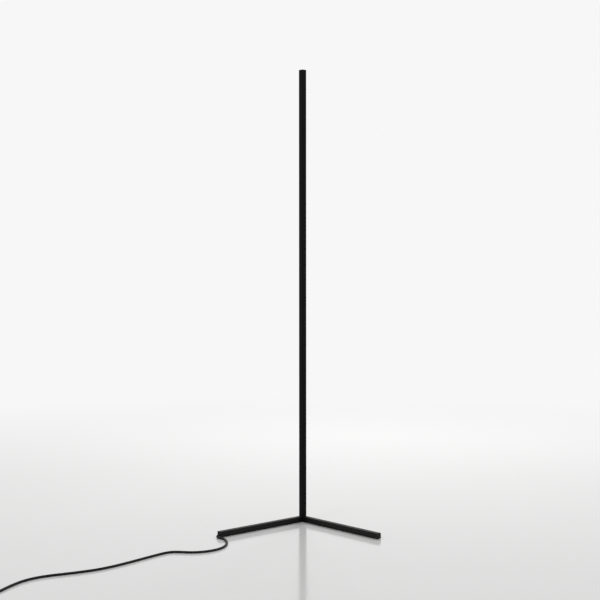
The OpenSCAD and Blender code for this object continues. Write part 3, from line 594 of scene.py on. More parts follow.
class Surface(Enum):
    """Every finish of the lamp, under the name of what wears it."""

    POLE = Finish("black_anodised", (0.0020, 0.0020, 0.0022), (0.0040, 0.0040, 0.0043),
                  (0.34, 0.46), specular=0.06, grain=2600.0, stretch=(1.0, 1.0, 60.0),
                  broad=6.0, worn=(0.014, 0.014, 0.0145), slot="black_aluminium")
    BASE = Finish("black_powder_coat", (0.0036, 0.0037, 0.0034), (0.0065, 0.0066, 0.0060),
                  (0.40, 0.54), specular=0.15, grain=1300.0, relief=0.000035, broad=14.0,
                  worn=(0.020, 0.020, 0.020), slot="black_steel")
    CORNER = Finish("black_cast_coat", (0.0026, 0.0026, 0.0026), (0.0045, 0.0045, 0.0044),
                    (0.52, 0.64), specular=0.10, relief=0.00005, broad=30.0,
                    worn=(0.014, 0.014, 0.014), slot="black_steel")
    MOULDED = Moulded("black_moulded_plastic", (0.0075, 0.0075, 0.0080),
                      (0.0120, 0.0120, 0.0120), (0.44, 0.60), specular=0.2, grain=2400.0,
                      relief=0.00003, worn=(0.022, 0.022, 0.022), slot="black_plastic")
    RUBBER = Finish("soft_rubber", (0.035, 0.035, 0.035), (0.055, 0.054, 0.052), (0.70, 0.90),
                    specular=0.25, grain=1800.0, relief=0.00004, worn=(0.075, 0.074, 0.072),
                    slot="grey_rubber")
    JACKET = Finish("matt_cord_jacket", (0.0035, 0.0035, 0.0036), (0.0070, 0.0070, 0.0067),
                    (0.40, 0.56), specular=0.16, relief=0.00003, broad=25.0, slot="cord_jacket")
    DIFFUSER = Lit("milky_diffuser", (0.20, 0.205, 0.21), (0.23, 0.235, 0.24), (0.42, 0.55),
                   broad=12.0, stops=LIGHT_STOPS)
    LENS = Moulded("indicator_lens", (0.62, 0.64, 0.66), (0.70, 0.72, 0.74), (0.20, 0.30),
                   grain=1500.0, slot="milky_plastic")
    WHITE_BOARD = Circuit("white_board", (0.78, 0.78, 0.75), (0.62, 0.60, 0.55), (0.35, 0.50))
    GREEN_BOARD = Circuit("green_board", (0.02, 0.16, 0.07), (0.05, 0.30, 0.13), (0.20, 0.35))
    PHOSPHOR = Finish("chip_phosphor", (0.86, 0.68, 0.22), (0.92, 0.78, 0.34), (0.30, 0.45),
                      grain=2500.0, broad=300.0, slot="chip_cream")
    PLATED = Finish("zinc_plated_steel", (0.55, 0.56, 0.58), (0.66, 0.65, 0.60), (0.22, 0.38),
                    metallic=1.0, grain=2200.0, broad=120.0, slot="steel")
    NICKEL = Finish("nickel_plate", (0.66, 0.63, 0.58), (0.72, 0.70, 0.66), (0.12, 0.24),
                    metallic=1.0, grain=1600.0, relief=0.000006, stretch=(1.0, 1.0, 12.0),
                    broad=90.0, slot="nickel")
    FERRITE = Finish("wound_ferrite", (0.05, 0.05, 0.053), (0.16, 0.14, 0.05), (0.50, 0.70),
                     grain=700.0, relief=0.00005, stretch=(1.0, 6.0, 1.0), broad=180.0)
    WEBBING = Woven("tie_webbing", (0.014, 0.014, 0.014), (0.026, 0.026, 0.025), (0.75, 0.95),
                    specular=0.25, grain=500.0, relief=0.00008, broad=60.0, slot="grey_rubber")
    INK = Finish("pale_ink", (0.50, 0.50, 0.49), (0.42, 0.42, 0.41), (0.40, 0.55),
                 grain=2000.0, broad=500.0, slot="milky_plastic")

    @property
    def material(self) -> Material:
        """The finish's material."""
        return self.value.material()


def dress(node: str, surface: Surface) -> None:
    """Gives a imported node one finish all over.

    Args:
        node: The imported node.
        surface: The finish.
    """
    for slot in frame["nodes"][node].material_slots:
        slot.link = "OBJECT"
        slot.material = surface.material
    log.info("%s: %s", node, surface.value.name)


# ---------- shapes ----------


def piece_of(mesh: Mesh, name: str) -> Object:
    """Puts a mesh into the scene as a piece.

    Args:
        mesh: The piece's mesh.
        name: The piece's name.

    Returns:
        The piece.
    """
    mesh.name = name
    made = bpy.data.objects.new(name, mesh)
    bpy.context.scene.collection.objects.link(made)
    log.info("%s: %d faces", name, len(mesh.polygons))
    return made


def settle(piece: Object, surface: Surface, nodes: Iterable[str] = (),
           body: str = "root") -> Object:
    """Ties a finished piece to its body, to its record slot and to what it stands for.

    Args:
        piece: The finished piece.
        surface: Its finish, which names the record's slot.
        nodes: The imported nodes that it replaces.
        body: The body that the piece moves with.

    Returns:
        The same piece.
    """
    slot = surface.value.slot
    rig.ride(piece, body)
    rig.slot(piece, slot)
    if nodes:
        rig.replaces(piece, *nodes)
    return piece


def ringed_mesh(name: str, rings: Sequence[Sequence[Triple]], looped: bool = False) -> Mesh:
    """Joins rings of points into a closed mesh.

    Args:
        name: The mesh's name.
        rings: The rings, all with the same number of points.
        looped: Whether the last ring joins the first. A face closes each end where it doesn't.

    Returns:
        The mesh, its faces turned outward.
    """
    shape = bmesh.new()
    made = [[shape.verts.new(point) for point in ring] for ring in rings]
    for low, high in zip(made, made[1:] + (made[:1] if looped else [])):
        for k in range(len(low)):
            shape.faces.new((low[k - 1], low[k], high[k], high[k - 1]))
    if not looped:
        shape.faces.new(reversed(made[0]))
        shape.faces.new(made[-1])
    bmesh.ops.recalc_face_normals(shape, faces=shape.faces)
    mesh = bpy.data.meshes.new(name)
    shape.to_mesh(mesh)
    shape.free()
    return mesh


class Recipe:
    """A geometry tree with named inputs, run on a small host mesh to give a plain mesh."""

    def __init__(self, name: str) -> None:
        """Makes the empty tree.

        Args:
            name: The tree's name.
        """
        self.tree = bpy.data.node_groups.new(name, "GeometryNodeTree")
        self.graph = Graph(self.tree)
        for way in ("INPUT", "OUTPUT"):
            self.tree.interface.new_socket("Geometry", in_out=way, socket_type="NodeSocketGeometry")
        self.identifiers: dict[str, str] = {}
        self.source = self.graph.add("NodeGroupInput")

    def input(self, name: str, kind: str) -> NodeSocket:
        """Adds a named input.

        Args:
            name: The input's name.
            kind: Its socket type.

        Returns:
            Its socket inside the tree.
        """
        made = self.tree.interface.new_socket(name, in_out="INPUT", socket_type=kind)
        self.identifiers[name] = made.identifier
        return self.source.outputs[name]

    def end(self, geometry: NodeSocket) -> None:
        """Ends the tree in real geometry that wears the finish it is given.

        Args:
            geometry: What the tree has made.
        """
        finish = self.input("Finish", "NodeSocketMaterial")
        real = self.graph.add("GeometryNodeRealizeInstances", {"Geometry": geometry})
        inputs = {"Geometry": real.outputs["Geometry"], "Material": finish}
        worn = self.graph.add("GeometryNodeSetMaterial", inputs)
        self.graph.add("NodeGroupOutput", {"Geometry": worn.outputs["Geometry"]})

    def run(self, host: Mesh, name: str, values: dict[str, Input], surface: Surface,
            nodes: Iterable[str] = (), body: str = "root") -> Object:
        """Runs the tree and settles its result as a plain piece.

        Args:
            host: The mesh that the tree starts from.
            name: The new piece's name.
            values: A value for each named input but the finish.
            surface: Its finish.
            nodes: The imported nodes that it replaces.
            body: The body that it moves with.

        Returns:
            The piece, with no modifier left.
        """
        carrier = bpy.data.objects.new("carrier", host)
        bpy.context.scene.collection.objects.link(carrier)
        modifier = carrier.modifiers.new(self.tree.name, "NODES")
        modifier.node_group = self.tree
        for key, value in {**values, "Finish": surface.material}.items():
            modifier[self.identifiers[key]] = value
        carrier.update_tag()
        view = bpy.context.evaluated_depsgraph_get()
        mesh = bpy.data.meshes.new_from_object(carrier.evaluated_get(view))
        carrier.modifiers.remove(modifier)
        bpy.data.objects.remove(carrier)
        return settle(piece_of(mesh, name), surface, nodes, body)


class SweptTube(Recipe):
    """Round tube along a line of points, each with its own radius."""

    def __init__(self) -> None:
        """Builds the tree."""
        super().__init__("swept_tube")
        add = self.graph.add
        sides = self.input("Sides", "NodeSocketInt")
        radius = add("GeometryNodeInputNamedAttribute", {"Name": "tube_radius"}, data_type="FLOAT")
        line = add("GeometryNodeMeshToCurve", {"Mesh": self.source.outputs["Geometry"]})
        ring = add("GeometryNodeCurvePrimitiveCircle", {"Resolution": sides, "Radius": 1.0})
        inputs = {"Curve": line.outputs["Curve"], "Profile Curve": ring.outputs["Curve"],
                  "Scale": radius.outputs["Attribute"], "Fill Caps": True}
        swept = add("GeometryNodeCurveToMesh", inputs)
        smooth = add("GeometryNodeSetShadeSmooth", {"Geometry": swept.outputs["Mesh"]})
        self.end(smooth.outputs["Geometry"])

    def make(self, name: str, strokes: Sequence[Sequence[Vector]], radii: Sequence[float],
             sides: int, surface: Surface, nodes: Iterable[str] = (), body: str = "root") -> Object:
        """Makes one piece of one or more tubes.

        Args:
            name: The piece's name.
            strokes: The centreline of each tube.
            radii: The radius at each point, one centreline after another.
            sides: How many sides a tube has.
            surface: Its finish.
            nodes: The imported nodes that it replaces.
            body: The body that it moves with.

        Returns:
            The piece.
        """
        points = [point for stroke in strokes for point in stroke]
        ends = {sum(map(len, strokes[:k + 1])) - 1 for k in range(len(strokes))}
        edges = [(i, i + 1) for i in range(len(points) - 1) if i not in ends]
        host = bpy.data.meshes.new("lines")
        host.from_pydata(points, edges, [])
        stored = host.attributes.new("tube_radius", "FLOAT", "POINT")
        stored.data.foreach_set("value", radii)
        return self.run(host, name, {"Sides": sides}, surface, nodes, body)


class Row(Recipe):
    """A straight row of copies of one small part."""

    def __init__(self) -> None:
        """Builds the tree."""
        super().__init__("row_of_parts")
        add = self.graph.add
        inputs = {"Count": self.input("Count", "NodeSocketInt"),
                  "Start Location": self.input("First", "NodeSocketVector"),
                  "Offset": self.input("Step", "NodeSocketVector")}
        line = add("GeometryNodeMeshLine", inputs).outputs["Mesh"]
        part = add("GeometryNodeObjectInfo", {"Object": self.input("Part", "NodeSocketObject")})
        inputs = {"Points": line, "Instance": part.outputs["Geometry"]}
        self.end(add("GeometryNodeInstanceOnPoints", inputs).outputs["Instances"])

    def make(self, name: str, part: Object, first: Triple, step: Triple, count: int,
             surface: Surface, nodes: Iterable[str]) -> Object:
        """Makes the row.

        Args:
            name: The piece's name.
            part: The part to copy, drawn at the origin.
            first: Where the first copy goes.
            step: From one copy to the next.
            count: How many copies there are.
            surface: The finish of them all.
            nodes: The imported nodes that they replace.

        Returns:
            The piece.
        """
        values = {"First": first, "Step": step, "Count": count, "Part": part}
        return self.run(bpy.data.meshes.new("start"), name, values, surface, nodes)


class Scatter(Recipe):
    """Copies of one small part at chosen points, all turned alike."""

    def __init__(self) -> None:
        """Builds the tree."""
        super().__init__("placed_parts")
        part, turn = self.input("Part", "NodeSocketObject"), self.input("Turn", "NodeSocketVector")
        shape = self.graph.add("GeometryNodeObjectInfo", {"Object": part}).outputs["Geometry"]
        inputs = {"Points": self.source.outputs["Geometry"], "Instance": shape, "Rotation": turn}
        placed = self.graph.add("GeometryNodeInstanceOnPoints", inputs)
        self.end(placed.outputs["Instances"])

    def make(self, name: str, part: Object, places: Sequence[Vector], turn: Triple,
             surface: Surface, nodes: Iterable[str] = ()) -> Object:
        """Makes the copies.

        Args:
            name: The piece's name.
            part: The part to copy, drawn at the origin.
            places: Where the copies go.
            turn: The angles that every copy is turned by.
            surface: The finish of them all.
            nodes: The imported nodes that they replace.

        Returns:
            The piece.
        """
        host = bpy.data.meshes.new("places")
        host.from_pydata(places, [], [])
        return self.run(host, name, {"Part": part, "Turn": turn}, surface, nodes)


class Outline(Enum):
    """The outline of a part's ring, by how many corners it has."""

    ROUND = 0
    SQUARE = 4
    HEXAGON = 6


@dataclass(frozen=True)
class Ring:
    """One ring of a part, about Z.

    Attributes:
        radius: Its radius, or half its width across flats where it has corners.
        height: Its place along the part's axis.
        outline: Its outline.
    """

    radius: float
    height: float
    outline: Outline = Outline.ROUND

    def points(self, start: float = 0.0, count: int = 24) -> list[Triple]:
        """Lays points round the ring.

        Args:
            start: Where the first is, in steps from the X axis.
            count: How many points there are.

        Returns:
            The points.
        """
        made = []
        for k in range(count):
            angle = 2 * math.pi * (k + start) / count
            reach = self.radius
            if self.outline is not Outline.ROUND:
                half = math.pi / self.outline.value
                reach /= math.cos((angle + half) % (2 * half) - half)
            made.append((reach * math.cos(angle), reach * math.sin(angle), self.height))
        return made


def turned_part(name: str, rings: Sequence[Ring]) -> Object:
    """Makes a loose part of rings, as a pattern for copies.

    Args:
        name: The part's name.
        rings: The rings, from one end of its outline to the other.

    Returns:
        The part, which isn't itself in the scene.
    """
    mesh = ringed_mesh(name, [ring.points() for ring in rings])
    mesh.shade_smooth()
    mesh.set_sharp_from_angle(angle=TURNED_SHARP)
    return bpy.data.objects.new(name, mesh)


def straight_line(start: Triple, length: float, count: int) -> list[Vector]:
    """Points along Y from a start, where a negative length runs towards -Y."""
    x, y, z = start
    return [Vector((x, y + length * k / count, z)) for k in range(count + 1)]


def paired_places(middle: float, off: float, rows: Sequence[float], height: float) -> list[Vector]:
    """Places to both sides of a line along Y, one pair in each row."""
    return [Vector((middle + way * off, y, height)) for way in (-1, 1) for y in rows]


@dataclass(frozen=True)
class SocketScrew:
    """Screw with a hexagon socket, its head's face at the origin and its shank towards -Z.

    Attributes:
        head: Radius of the head.
        depth: Height of the head.
        shank: Radius of the thread.
        length: Whole length.
        socket: Half the socket's width across flats.
        socket_depth: How deep the socket is.
        countersunk: Whether the head tapers to the shank.
        thread: Pitch of the thread.
        brim: Width of the head's rounded rim, as a share of the head.
        cone: Radius of the socket's end, as a share of the socket.
        wall: Radius and depth at the foot of the socket's walls, as shares of the socket's.
        root: Radius at the thread's root, as a share of the shank.
        point: Radius of the shank's end, as a share of the root.
    """

    head: float
    depth: float
    shank: float
    length: float
    socket: float
    socket_depth: float
    countersunk: bool
    thread: float = 0.0006
    brim: float = 0.08
    cone: float = 0.3
    wall: Pair = (0.96, 0.92)
    root: float = 0.86
    point: float = 0.7

    def part(self) -> Object:
        """Makes the screw as a loose part.

        Returns:
            The screw, as a pattern for copies.
        """
        brim = self.brim * self.head
        width, depth = self.socket * self.wall[0], self.socket_depth * self.wall[1]
        under = self.shank if self.countersunk else self.head
        rings = [Ring(self.socket * self.cone, -self.socket_depth),
                 Ring(width, -depth, Outline.HEXAGON),
                 Ring(self.socket, -brim, Outline.HEXAGON), Ring(self.socket + brim, 0.0),
                 Ring(self.head - brim, 0.0), Ring(self.head, -brim), Ring(under, -self.depth)]
        root = self.shank * self.root
        count = int((self.length - self.depth - 2 * brim) / self.thread)
        rings.append(Ring(root, -self.depth - brim))
        for k in range(count):
            at = self.depth + brim + k * self.thread
            rings += [Ring(self.shank, -at - self.thread / 2), Ring(root, -at - self.thread)]
        rings.append(Ring(root * self.point, -self.length))
        return turned_part("screw", rings)


# ---------- eased edges ----------


def whole_lamp() -> BVHTree:
    """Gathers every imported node's faces, to tell what lies open.

    Returns:
        The faces, set out for rays.
    """
    points: list[Vector] = []
    faces: list[list[int]] = []
    for node in frame["nodes"].values():
        start = len(points)
        points += [vertex.co.copy() for vertex in node.data.vertices]
        faces += [[start + k for k in polygon.vertices] for polygon in node.data.polygons]
    return BVHTree.FromPolygons(points, faces)


@dataclass
class Easing:
    """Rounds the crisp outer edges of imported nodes, as moulds, dies and paint leave them.

    An edge is rounded where it is convex, sharp, and nothing of the lamp stands before it. The
    butted ends of the pole's lengths stay crisp and meet, so that no light shows between them.

    Attributes:
        crisp: The least angle of an edge that is rounded.
        shaded: The least angle of an edge that stays sharp in the shading.
        flat: The angle under which neighbouring faces are one face.
        merge: The distance under which points are one point.
        start: How far off the edge the search for what stands before it starts.
        reach: How far that search goes.
        segments: Faces across a rounded edge.
        seam_reach: How near to a seam of the pole an end counts as butted.
        lamp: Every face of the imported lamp.
    """

    crisp: float = math.radians(28)
    shaded: float = math.radians(50)
    flat: float = math.radians(0.3)
    merge: float = 0.000001
    start: float = 0.00004
    reach: float = 3.0
    segments: int = 3
    seam_reach: float = 0.0003
    lamp: BVHTree = field(default_factory=whole_lamp)

    def chosen(self, edge: BMEdge) -> bool:
        """Tells whether an edge is to be rounded.

        Args:
            edge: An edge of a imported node.

        Returns:
            True where the edge is crisp, open and not at a seam.
        """
        if len(edge.link_faces) != 2 or edge.calc_face_angle_signed(0.0) < self.crisp:
            return False
        middle = (edge.verts[0].co + edge.verts[1].co) / 2
        if middle.z != self.butted(middle.z):
            return False
        out = (edge.link_faces[0].normal + edge.link_faces[1].normal).normalized()
        return self.lamp.ray_cast(middle + out * self.start, out, self.reach)[0] is None

    def butted(self, height: float) -> float:
        """Returns the seam's height for one within reach of a seam, and any other as it is."""
        near = (seam for seam in POLE_SEAMS if abs(height - seam) < self.seam_reach)
        return next(near, height)

    def ease(self, node: str, width: float, surface: Surface, body: str = "root") -> Object:
        """Makes a copy of a node with its outer edges rounded, in the node's place.

        Args:
            node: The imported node.
            width: How far in from the edge the rounding starts.
            surface: The finish.
            body: The body that the node moves with.

        Returns:
            The piece.
        """
        shape = bmesh.new()
        shape.from_mesh(frame["nodes"][node].data)
        bmesh.ops.remove_doubles(shape, verts=shape.verts, dist=self.merge)
        bmesh.ops.dissolve_limit(shape, angle_limit=self.flat, verts=shape.verts,
                                 edges=shape.edges)
        shape.normal_update()
        wear = shape.faces.layers.float.new(WEAR)
        edges = [edge for edge in shape.edges if self.chosen(edge)]
        made = bmesh.ops.bevel(shape, geom=edges, offset=width, offset_type="OFFSET",
                               segments=self.segments, profile=0.5, affect="EDGES",
                               clamp_overlap=False)
        for face in made["faces"]:
            face[wear] = 1.0
        for vertex in shape.verts:
            vertex.co.z = self.butted(vertex.co.z)
        mesh = bpy.data.meshes.new(node)
        shape.to_mesh(mesh)
        shape.free()
        return settle(self.shade(mesh, f"{node}_eased", surface), surface, [node], body)

    def shade(self, mesh: Mesh, name: str, surface: Surface) -> Object:
        """Gives a rounded mesh its finish, and its flat faces a flat look.

        Args:
            mesh: The rounded mesh.
            name: The piece's name.
            surface: The finish.

        Returns:
            The piece.
        """
        if "custom_normal" in mesh.attributes:
            mesh.attributes.remove(mesh.attributes["custom_normal"])
        mesh.materials.clear()
        mesh.materials.append(surface.material)
        mesh.polygons.foreach_set("material_index", [0] * len(mesh.polygons))
        mesh.shade_smooth()
        mesh.set_sharp_from_angle(angle=self.shaded)
        piece = piece_of(mesh, name)
        modifier = piece.modifiers.new("flat_faces", "WEIGHTED_NORMAL")
        modifier.keep_sharp = True
        view = bpy.context.evaluated_depsgraph_get()
        piece.data = bpy.data.meshes.new_from_object(piece.evaluated_get(view))
        piece.modifiers.remove(modifier)
        return piece


@dataclass
class Kit:
    """What every sub-assembly is made with."""

    easing: Easing = field(default_factory=Easing)
    tube: SweptTube = field(default_factory=SweptTube)
    row: Row = field(default_factory=Row)
    scatter: Scatter = field(default_factory=Scatter)


# ---------- camera and studio ----------


@dataclass
class ViewCamera:
    """The photograph's viewpoint: a long lens, nearly level, a little to the right."""

    azimuth: float = 2.94
    elevation: float = 2.0
    roll: float = 0.03
    distance: float = 3.897
    target: Triple = (-0.0082, 0.0, 0.6909)
    lens_mm: float = 75.41
    sensor_mm: float = 36.0
    sight: float = 100.0

    def build(self) -> None:
        """Makes the scene's camera."""
        turn, lift = math.radians(self.azimuth), math.radians(self.elevation)
        flat = math.cos(lift)
        back = Vector((math.sin(turn) * flat, -math.cos(turn) * flat, math.sin(lift)))
        data = bpy.data.cameras.new("view")
        data.sensor_width = self.sensor_mm
        data.lens = self.lens_mm
        data.clip_end = self.sight
        camera = bpy.data.objects.new("view", data)
        aim = (-back).to_track_quat("-Z", "Y").to_matrix().to_4x4()
        place = Matrix.Translation(Vector(self.target) + back * self.distance)
        camera.matrix_world = place @ aim @ Matrix.Rotation(math.radians(-self.roll), 4, "Z")
        bpy.context.scene.collection.objects.link(camera)
        bpy.context.scene.camera = camera


@dataclass
class Lamp:
    """One soft studio light.

    Attributes:
        name: Its name.
        place: Where it hangs.
        size: Its diameter.
        watts: Its power.
        mirrored: Whether glossy surfaces show it.
        aim: The point that it is turned to.
    """

    name: str
    place: Triple
    size: float
    watts: float
    mirrored: bool = True
    aim: Triple = (0.0, 0.0, 0.6)

    def build(self) -> None:
        """Hangs the light and turns it."""
        data = bpy.data.lights.new(self.name, "AREA")
        data.shape = "DISK"
        data.size = self.size
        data.energy = self.watts
        light = bpy.data.objects.new(self.name, data)
        line = Vector(self.aim) - Vector(self.place)
        light.rotation_mode = "QUATERNION"
        light.rotation_quaternion = line.to_track_quat("-Z", "Y")
        light.location = self.place
        light.visible_glossy = self.mirrored
        bpy.context.scene.collection.objects.link(light)


@dataclass
class Studio:
    """Pale floor, pale surround and soft light, the strongest of it from behind."""

    floor_size: float = 40.0
    floor_colour: Colour = (0.77, 0.77, 0.765)
    floor_cloud: float = 0.010
    surround: float = 0.93
    ambient: float = 0.46
    lamps: tuple[Lamp, ...] = (
        Lamp("key_light", (-1.9, -2.8, 3.2), 1.8, 28.0),
        Lamp("fill_light", (2.8, -1.8, 2.2), 2.2, 12.0),
        Lamp("back_light", (0.3, 2.6, 2.6), 1.8, 72.0, mirrored=False),
    )

    def build(self) -> None:
        """Makes the floor, the surround and the lights."""
        self.lay_floor()
        self.surround_scene()
        for lamp in self.lamps:
            lamp.build()
        bpy.context.scene.view_settings.view_transform = "Standard"

    def lay_floor(self) -> None:
        """Lays the floor, which isn't part of the object."""
        half = self.floor_size / 2
        mesh = bpy.data.meshes.new("floor")
        corners = [(-half, -half, 0), (half, -half, 0), (half, half, 0), (-half, half, 0)]
        mesh.from_pydata(corners, [], [(0, 1, 2, 3)])
        floor = piece_of(mesh, "floor")
        paler = tuple(share + self.floor_cloud for share in self.floor_colour)
        finish = PaleFloor("studio_floor", self.floor_colour, paler, (0.11, 0.15), grain=40.0,
                           relief=0.0, broad=1.5, surround=self.surround)
        mesh.materials.append(finish.material())
        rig.stage(floor)

    def surround_scene(self) -> None:
        """Gives the world one level for light and another for what is seen past the floor."""
        world = bpy.data.worlds.new("surround")
        bpy.context.scene.world = world
        world.use_nodes = True
        graph = Graph(world.node_tree)
        light, sight = (graph.add("ShaderNodeBackground", {"Color": WHITE, "Strength": tone})
                        for tone in (self.ambient, self.surround))
        inputs = {0: graph.sight(), 1: light.outputs[0], 2: sight.outputs[0]}
        mixed = graph.add("ShaderNodeMixShader", inputs)
        graph.add("ShaderNodeOutputWorld", {"Surface": mixed.outputs[0]})


# ---------- cord ----------


def hermite(a: Vector, b: Vector, leave: Vector, arrive: Vector, t: float) -> Vector:
    """Finds a point on the smooth stretch between two points.

    Args:
        a: Where the stretch starts.
        b: Where it ends.
        leave: Heading at its start.
        arrive: Heading at its end.
        t: How far along it the point is, from 0 to 1.

    Returns:
        The point.
    """
    long = (b - a).length
    t2, t3 = t * t, t * t * t
    return ((2 * t3 - 3 * t2 + 1) * a + (t3 - 2 * t2 + t) * long * leave
            + (3 * t2 - 2 * t3) * b + (t3 - t2) * long * arrive)


def smooth_path(stops: Sequence[Vector], first: Vector, last: Vector, step: float) -> list[Vector]:
    """Runs a smooth line through chosen points.

    Args:
        stops: The chosen points.
        first: Heading at the first point.
        last: Heading at the last point.
        step: About how far apart the line's points are.

    Returns:
        The line's points.
    """
    slopes = [first]
    for before, here, after in zip(stops, stops[1:], stops[2:]):
        slopes.append((after - before) / ((after - here).length + (here - before).length))
    slopes.append(last)
    line = []
    for a, b, leave, arrive in zip(stops, stops[1:], slopes, slopes[1:]):
        count = max(1, round((b - a).length / step))
        line += [hermite(a, b, leave, arrive, k / count) for k in range(count)]
    return [*line, stops[-1]]


@dataclass
class SupplyCord:
    """The cord: a run on the floor to the controller, then a coil that ends in the adapter.

    The run follows chosen points, and the coil's turns follow a rule: they spiral in on the
    floor, climb one diameter in half a turn and spiral out again on top.
    """

    radius: float = CORD_RADIUS
    sides: int = 16
    step: float = 0.004
    run_length: float = 0.960
    coil_length: float = 1.004
    relief_tip: Triple = (-0.2185, -0.2680, 0.0037)
    relief_heading: Triple = (0.70711, -0.70711, 0.0)
    rise: Triple = (-0.770, -0.876, 0.00445)
    route: tuple[Pair, ...] = (
        (-0.212, -0.280), (-0.205, -0.305), (-0.202, -0.331), (-0.204, -0.357), (-0.211, -0.381),
        (-0.224, -0.403), (-0.243, -0.421), (-0.266, -0.433), (-0.292, -0.438), (-0.319, -0.435),
        (-0.342, -0.436), (-0.359, -0.447), (-0.376, -0.468), (-0.406, -0.510), (-0.440, -0.559),
        (-0.475, -0.605), (-0.511, -0.642), (-0.549, -0.669), (-0.586, -0.691), (-0.621, -0.711),
        (-0.650, -0.735), (-0.672, -0.765), (-0.687, -0.801), (-0.698, -0.838), (-0.708, -0.874),
        (-0.719, -0.890), (-0.739, -0.898), (-0.759, -0.891),
    )
    controller_in: Triple = (CONTROLLER_X, -0.858, 0.0055)
    controller_out: Triple = (CONTROLLER_X, -0.760, 0.0055)
    link: tuple[Triple, ...] = ((CONTROLLER_X, -0.750, 0.005035), (CONTROLLER_X, -0.738, 0.00426),
                                (CONTROLLER_X, -0.729, 0.00395))
    coil_centre: Triple = (-0.813525, -0.716, 0.00395)
    coil_pitch: float = 0.0069
    coil_inner: float = 0.026
    coil_turns: float = 4.5
    coil_climb: float = 0.5
    coil_steps: int = 44
    coil_straight: float = 0.0069

    def run_line(self) -> list[Vector]:
        """Runs a line from the strain relief to the controller, kept on the floor.

        Returns:
            The run's centreline.
        """
        stops = [Vector(self.relief_tip), *(Vector((x, y, self.radius)) for x, y in self.route),
                 Vector(self.rise), Vector(self.controller_in)]
        line = smooth_path(stops, Vector(self.relief_heading), Vector((0, 1, 0)), self.step)
        return [Vector((p.x, p.y, max(p.z, self.radius))) for p in line]

    def coil_point(self, turns: float) -> Vector:
        """Finds a point on the coil.

        Args:
            turns: How many turns it is from the coil's start.

        Returns:
            The point.
        """
        past = turns - self.coil_turns / 2
        reach = self.coil_inner + self.coil_pitch * abs(past)
        share = min(1.0, max(0.0, past / self.coil_climb + 0.5))
        climb = share * share * (3 - 2 * share)
        angle = 2 * math.pi * turns
        off = Vector((reach * math.cos(angle), reach * math.sin(angle), self.coil_pitch * climb))
        return Vector(self.coil_centre) + off

    def coil_line(self) -> list[Vector]:
        """Runs a line from the controller through the coil to the adapter's relief.

        Returns:
            The centreline.
        """
        count = round(self.coil_turns * self.coil_steps)
        turns = [self.coil_point(i / self.coil_steps) for i in range(count + 1)]
        down = Vector((0, -self.coil_straight, 0))
        stops = [Vector(self.controller_out), *map(Vector, self.link), turns[0] + down]
        heading = Vector((0, 1, 0))
        return [*smooth_path(stops, heading, heading, self.step), *turns, turns[-1] + down]

    def build(self, tube: SweptTube, on_run: Sequence[object], on_coil: Sequence[object]) -> None:
        """Args:
            tube: What sweeps them.
            on_run: The pieces that the run ends in.
            on_coil: The pieces that hold the coil or end it.
        """
        run, coil = self.run_line(), self.coil_line()
        piece = tube.make("supply_cord_run", [run], [self.radius] * len(run), self.sides,
                          Surface.JACKET, ["cord_run"])
        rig.cord(piece, exit=self.relief_tip, length=self.run_length, diameter=2 * self.radius,
                far_end="fitting", stiffness="medium", lay="loose", path=run, with_pieces=on_run)
        piece = tube.make("supply_cord_coil", [coil], [self.radius] * len(coil), self.sides,
                          Surface.JACKET, ["cord_link", "cord_coil"])
        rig.cord(piece, exit=self.controller_out, length=self.coil_length, diameter=2 * self.radius,
                far_end="plug", stiffness="medium", lay="coiled", path=coil, with_pieces=on_coil)


# ---------- reliefs and tie ----------


@dataclass
class Relief:
    """A tapered, ribbed sleeve round the cord where it leaves a housing.

    Attributes:
        name: The piece's name.
        node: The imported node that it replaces.
        line: Its centreline.
        root: Its radius at the housing.
        tip: Its radius at the far end.
        groove: Depth of the grooves between its ribs.
        pitch: Distance from one groove to the next.
        collar: Length of its plain end.
        profile: How far along and how deep a groove is at each bend, in shares of its depth.
        sides: How many sides it has.
    """

    name: str
    node: str
    line: list[Vector]
    root: float
    tip: float = RELIEF_TIP
    groove: float = 0.00035
    pitch: float = 0.0026
    collar: float = 0.0022
    profile: tuple[Pair, ...] = ((0.6, 1.0), (1.32, 1.0), (1.92, 0.0))
    sides: int = 28

    def build(self, tube: SweptTube) -> Object:
        """Makes the sleeve: a plain collar, then ribs with narrow grooves.

        Args:
            tube: What sweeps it.

        Returns:
            The sleeve.
        """
        lengths = [0.0]
        for a, b in zip(self.line, self.line[1:]):
            lengths.append(lengths[-1] + (b - a).length)
        total = lengths[-1]
        marks = [(0.0, 0.0), (self.collar, 0.0)]
        for k in range(int((total - 2 * self.collar) / self.pitch)):
            at = self.collar + k * self.pitch
            marks += [(at + along * self.groove, depth) for along, depth in self.profile]
            marks.append((at + self.pitch, 0.0))
        marks += [(total - self.groove * self.profile[0][0], 0.0), (total, 1.0)]
        radii = [self.root + (self.tip - self.root) * at / total - depth * self.groove
                 for at, depth in marks]
        points = [self.point(lengths, at) for at, _ in marks]
        return tube.make(self.name, [points], radii, self.sides, Surface.JACKET, [self.node])

    def point(self, lengths: list[float], where: float) -> Vector:
        """Finds a point on the line.

        Args:
            lengths: The length of the line up to each of its points.
            where: The point's distance from its start.

        Returns:
            The point.
        """
        i = min(max(bisect_left(lengths, where), 1), len(lengths) - 1)
        share = (where - lengths[i - 1]) / (lengths[i] - lengths[i - 1])
        return self.line[i - 1].lerp(self.line[i], share)


